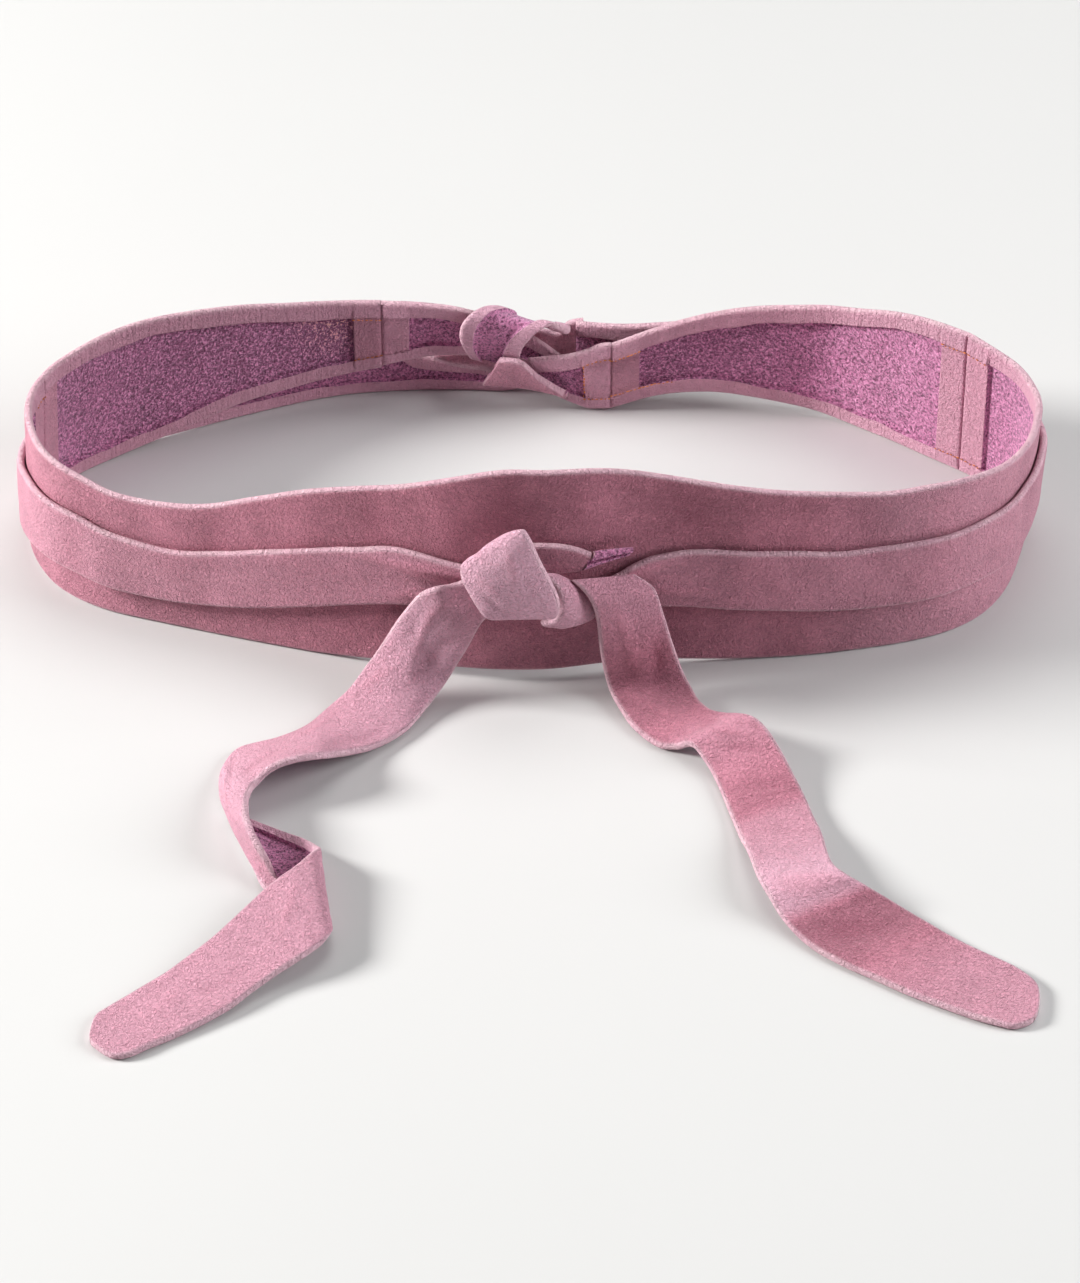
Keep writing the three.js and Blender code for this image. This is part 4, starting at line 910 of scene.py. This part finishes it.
def free_strip(settings, name, rows, held, rests_on, step=0.8, tip=0, goes_with=(), raw=False, **ways):
    """Builds one free stretch of tie; raw has suede on its edges too."""
    stations = free(rows, step, tip=tip, **ways)
    obj, flat, area = strip(
        name + "_leather", stations, TIE_HEM, free_relief(name), 0.6 * settings.gather, leathers(settings),
        pitch=1.0, rub_and_light=rub_and_light_along(name, stations["run"]), raw=raw)
    put_on_belt(obj, name)


class BELT_OT_crossing(bpy.types.Operator):
    """Builds the half knot where the two ties cross behind"""
    bl_idname = "belt.crossing"
    bl_label = "Crossing behind"

    def execute(self, context):
        settings = context.scene.belt
        free_strip(
            settings, "left_tie_start", LEFT_TIE_START, "stretched", ["left_wing_leather"], back=True,
            seam=1)
        free_strip(settings, "left_tie_turn", LEFT_TIE_TURN, "folded", ["left_tie_start_leather"])
        free_strip(
            settings, "right_tie_start", RIGHT_TIE_START, "folded", ["right_wing_leather"], inside=True,
            seam=0)
        free_strip(
            settings, "right_tie_flap", RIGHT_TIE_FLAP, "folded", ["left_tie_start_leather"], back=True)
        free_strip(settings, "right_tie_turn", RIGHT_TIE_TURN, None, (), back=True)
        free_strip(
            settings, "right_tie_wrap", RIGHT_TIE_WRAP, "folded", ["left_tie_start_leather"],
            goes_with=["right_tie_turn_leather"], inside=True)
        return {"FINISHED"}


class BELT_OT_knot(bpy.types.Operator):
    """Builds the knot in front"""
    bl_idname = "belt.knot"
    bl_label = "Front knot"

    def execute(self, context):
        settings = context.scene.belt
        free_strip(settings, "knot_face", KNOT_FACE, "folded", ["left_band_leather"], 0.6)
        free_strip(settings, "knot_loop", KNOT_LOOP, "folded", ["knot_face_leather"], 0.6)
        free_strip(settings, "knot_fold", KNOT_FOLD, None, (), 0.6, raw=True, back=True, inside=True)
        free_strip(
            settings, "knot_under", KNOT_UNDER, "folded", ["right_band_leather"], 0.6,
            goes_with=["knot_fold_leather"], back=True)
        return {"FINISHED"}


class BELT_OT_tails(bpy.types.Operator):
    """Builds the two loose tails that lie on the ground"""
    bl_idname = "belt.tails"
    bl_label = "Tails"

    def execute(self, context):
        settings = context.scene.belt
        free_strip(settings, "left_tail", LEFT_TAIL, "laid", ["studio_ground", "knot_face_leather"])
        free_strip(settings, "left_tail_end", LEFT_TAIL_END, "laid", ["studio_ground"], tip=5)
        free_strip(settings, "right_tail", RIGHT_TAIL, "laid", ["studio_ground", "knot_loop_leather"], tip=6)
        return {"FINISHED"}


def seam_paths():
    """Lines on the inside of the belt, in metres, where thread and glue show at the seams."""
    paths = []
    for rows, first, last, edge, inset in SEAM_LINES:
        table = np.array(rows, float)
        at = np.linspace(first, last, 12)
        place, normal = around(at)
        z = column(table, edge, at) + inset
        depth = DOUBLED + 0.5 - column(table, 3, at) * z
        line = np.column_stack([place - normal * depth[:, None] + np.array(PLACE), z])
        paths.append(line * MM)
    for line in FREE_SEAM_LINES:
        paths.append((np.array(line, float) + np.array([*PLACE, 0.0])) * MM)
    return paths


def thread_nodes(material):
    """Node group that lays small uneven beads of thread along curves."""
    group = bpy.data.node_groups.new("thread_marks", "GeometryNodeTree")
    sockets = {}
    for name, way, kind in (
        ("Geometry", "INPUT", "NodeSocketGeometry"), ("Pitch", "INPUT", "NodeSocketFloat"),
        ("Bead", "INPUT", "NodeSocketFloat"), ("Scatter", "INPUT", "NodeSocketFloat"),
        ("Seed", "INPUT", "NodeSocketInt"), ("Geometry", "OUTPUT", "NodeSocketGeometry"),
    ):
        made = group.interface.new_socket(name=name, in_out=way, socket_type=kind)
        if way == "INPUT":
            sockets[name] = made.identifier
    add = lambda kind: group.nodes.new(kind)
    join = group.links.new
    inputs, outputs = add("NodeGroupInput"), add("NodeGroupOutput")
    points = add("GeometryNodeCurveToPoints")
    points.mode = "LENGTH"
    join(inputs.outputs["Geometry"], points.inputs["Curve"])
    join(inputs.outputs["Pitch"], points.inputs["Length"])
    shift, negative = add("FunctionNodeRandomValue"), add("ShaderNodeMath")
    shift.data_type = "FLOAT_VECTOR"
    negative.operation = "MULTIPLY"
    negative.inputs[1].default_value = -1
    join(inputs.outputs["Scatter"], negative.inputs[0])
    join(negative.outputs[0], shift.inputs["Min"])
    join(inputs.outputs["Scatter"], shift.inputs["Max"])
    join(inputs.outputs["Seed"], shift.inputs["Seed"])
    moved = add("GeometryNodeSetPosition")
    join(points.outputs["Points"], moved.inputs["Geometry"])
    join(shift.outputs["Value"], moved.inputs["Offset"])
    bead = add("GeometryNodeMeshIcoSphere")
    bead.inputs["Subdivisions"].default_value = 1
    join(inputs.outputs["Bead"], bead.inputs["Radius"])
    size = add("FunctionNodeRandomValue")
    size.data_type = "FLOAT_VECTOR"
    size.inputs["Min"].default_value = (0.45, 0.4, 0.8)
    size.inputs["Max"].default_value = (0.9, 0.7, 2.0)
    join(inputs.outputs["Seed"], size.inputs["Seed"])
    laid = add("GeometryNodeInstanceOnPoints")
    join(moved.outputs["Geometry"], laid.inputs["Points"])
    join(bead.outputs["Mesh"], laid.inputs["Instance"])
    join(points.outputs["Rotation"], laid.inputs["Rotation"])
    join(size.outputs["Value"], laid.inputs["Scale"])
    real = add("GeometryNodeRealizeInstances")
    join(laid.outputs["Instances"], real.inputs["Geometry"])
    finish = add("GeometryNodeSetMaterial")
    finish.inputs["Material"].default_value = material
    join(real.outputs["Geometry"], finish.inputs["Geometry"])
    join(finish.outputs["Geometry"], outputs.inputs["Geometry"])
    return group, sockets


class BELT_OT_seam_marks(bpy.types.Operator):
    """Lays the marks of thread and glue along the seams inside the belt"""
    bl_idname = "belt.seam_marks"
    bl_label = "Seam marks"

    def execute(self, context):
        settings = context.scene.belt
        material = finish_named("seam_thread", thread_material, settings)
        curve = bpy.data.curves.new("seam_paths", "CURVE")
        curve.dimensions = "3D"
        for path in seam_paths():
            spline = curve.splines.new("POLY")
            spline.points.add(len(path) - 1)
            for point, where in zip(spline.points, path):
                point.co = (*where, 1)
        guide = bpy.data.objects.new("seam_paths", curve)
        context.scene.collection.objects.link(guide)
        group, sockets = thread_nodes(material)
        modifier = guide.modifiers.new("thread", "NODES")
        modifier.node_group = group
        modifier[sockets["Pitch"]] = settings.stitch_pitch
        modifier[sockets["Bead"]] = settings.bead_radius
        modifier[sockets["Scatter"]] = 0.5 * settings.bead_radius
        modifier[sockets["Seed"]] = settings.stitch_seed
        guide.update_tag()
        context.view_layer.update()
        evaluated = guide.evaluated_get(context.evaluated_depsgraph_get())
        mesh = bpy.data.meshes.new_from_object(evaluated)
        if not mesh or not mesh.polygons:
            raise RuntimeError("the seam marks came out empty")
        bpy.data.objects.remove(guide)
        made = bpy.data.objects.new("seam_marks", mesh)
        context.scene.collection.objects.link(made)
        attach(made, "root")
        return {"FINISHED"}


class BELT_OT_stage(bpy.types.Operator):
    """Builds the studio ground, the lights and the camera"""
    bl_idname = "belt.stage"
    bl_label = "Studio"

    def execute(self, context):
        settings = context.scene.belt
        scene = context.scene
        rings = (0.4, 0.9, 1.8, 3.5, 7.0)
        sides = 96
        verts = [(0, 0, 0)]
        for r in rings:
            verts += [
                (r * math.cos(2 * math.pi * i / sides), r * math.sin(2 * math.pi * i / sides), 0)
                for i in range(sides)
            ]
        faces = [(0, 1 + i, 1 + (i + 1) % sides) for i in range(sides)]
        for k in range(len(rings) - 1):
            a, b = 1 + k * sides, 1 + (k + 1) * sides
            faces += [(a + i, b + i, b + (i + 1) % sides, a + (i + 1) % sides) for i in range(sides)]
        mesh = bpy.data.meshes.new("studio_ground")
        mesh.from_pydata(verts, [], faces)
        mesh.materials.append(finish_named("studio_ground", ground_material, settings))
        ground = bpy.data.objects.new("studio_ground", mesh)
        scene.collection.objects.link(ground)

        for name, where, aim, size, power, colour in (
            ("key", (-1.78, 0.1, 0.88), (0, 0, 0.02), 0.6, settings.key_power, (1.0, 0.985, 0.965)),
            ("overhead", (0.1, 0.75, 1.85), (0, 0, 0), 1.3, 10, (1.0, 0.995, 0.99)),
            ("reflector", (1.5, -0.15, 0.8), (0, 0, 0.03), 1.2, 21, (0.98, 0.99, 1.0)),
        ):
            data = bpy.data.lights.new(name, "AREA")
            data.shape = "DISK"
            data.size = size
            data.energy = power
            data.color = colour
            made = bpy.data.objects.new(name, data)
            made.location = where
            made.rotation_euler = (Vector(aim) - Vector(where)).to_track_quat("-Z", "Y").to_euler()
            scene.collection.objects.link(made)
        world = bpy.data.worlds.new("studio_world")
        scene.world = world
        world.use_nodes = True
        sky = world.node_tree.nodes["Background"]
        sky.inputs["Color"].default_value = (0.98, 0.985, 1.0, 1)
        sky.inputs["Strength"].default_value = 0.12
        scene.view_settings.view_transform = "Standard"
        scene.view_settings.look = "Medium High Contrast"

        data = bpy.data.cameras.new("photo_camera")
        data.sensor_fit = "VERTICAL"
        data.sensor_height = 36
        data.lens = CAMERA_LENS
        data.clip_start, data.clip_end = 0.05, 30
        camera = bpy.data.objects.new("photo_camera", data)
        elevation = math.radians(CAMERA_ELEVATION)
        aim = Vector(((PLACE[0] + CAMERA_LOOKS[0]) * MM, (PLACE[1] + CAMERA_LOOKS[1]) * MM, 0))
        camera.location = aim + CAMERA_DISTANCE * Vector((0, -math.cos(elevation), math.sin(elevation)))
        camera.rotation_euler = (math.pi / 2 - elevation, 0, 0)
        scene.collection.objects.link(camera)
        scene.camera = camera
        return {"FINISHED"}


class BELT_PT_sidebar(bpy.types.Panel):
    """Lists the belt's settings and pieces"""
    bl_idname = "BELT_PT_sidebar"
    bl_label = "Wrap belt"
    bl_space_type = "VIEW_3D"
    bl_region_type = "UI"
    bl_category = "Belt"

    def draw(self, context):
        settings = context.scene.belt
        for name in BeltSettings.__annotations__:
            self.layout.prop(settings, name)
        for operator in OPERATORS:
            self.layout.operator(operator.bl_idname)


OPERATORS = (
    BELT_OT_stage, BELT_OT_panel, BELT_OT_bands, BELT_OT_crossing, BELT_OT_knot, BELT_OT_tails,
    BELT_OT_seam_marks)
CLASSES = (BeltSettings, *OPERATORS, BELT_PT_sidebar)


def register():
    for made in CLASSES:
        bpy.utils.register_class(made)
    bpy.types.Scene.belt = PointerProperty(type=BeltSettings)


def unregister():
    del bpy.types.Scene.belt
    for made in reversed(CLASSES):
        bpy.utils.unregister_class(made)


def main():
    register()
    for operator in OPERATORS:
        group, name = operator.bl_idname.split(".")
        getattr(getattr(bpy.ops, group), name)()


if __name__ == "__main__":
    main()
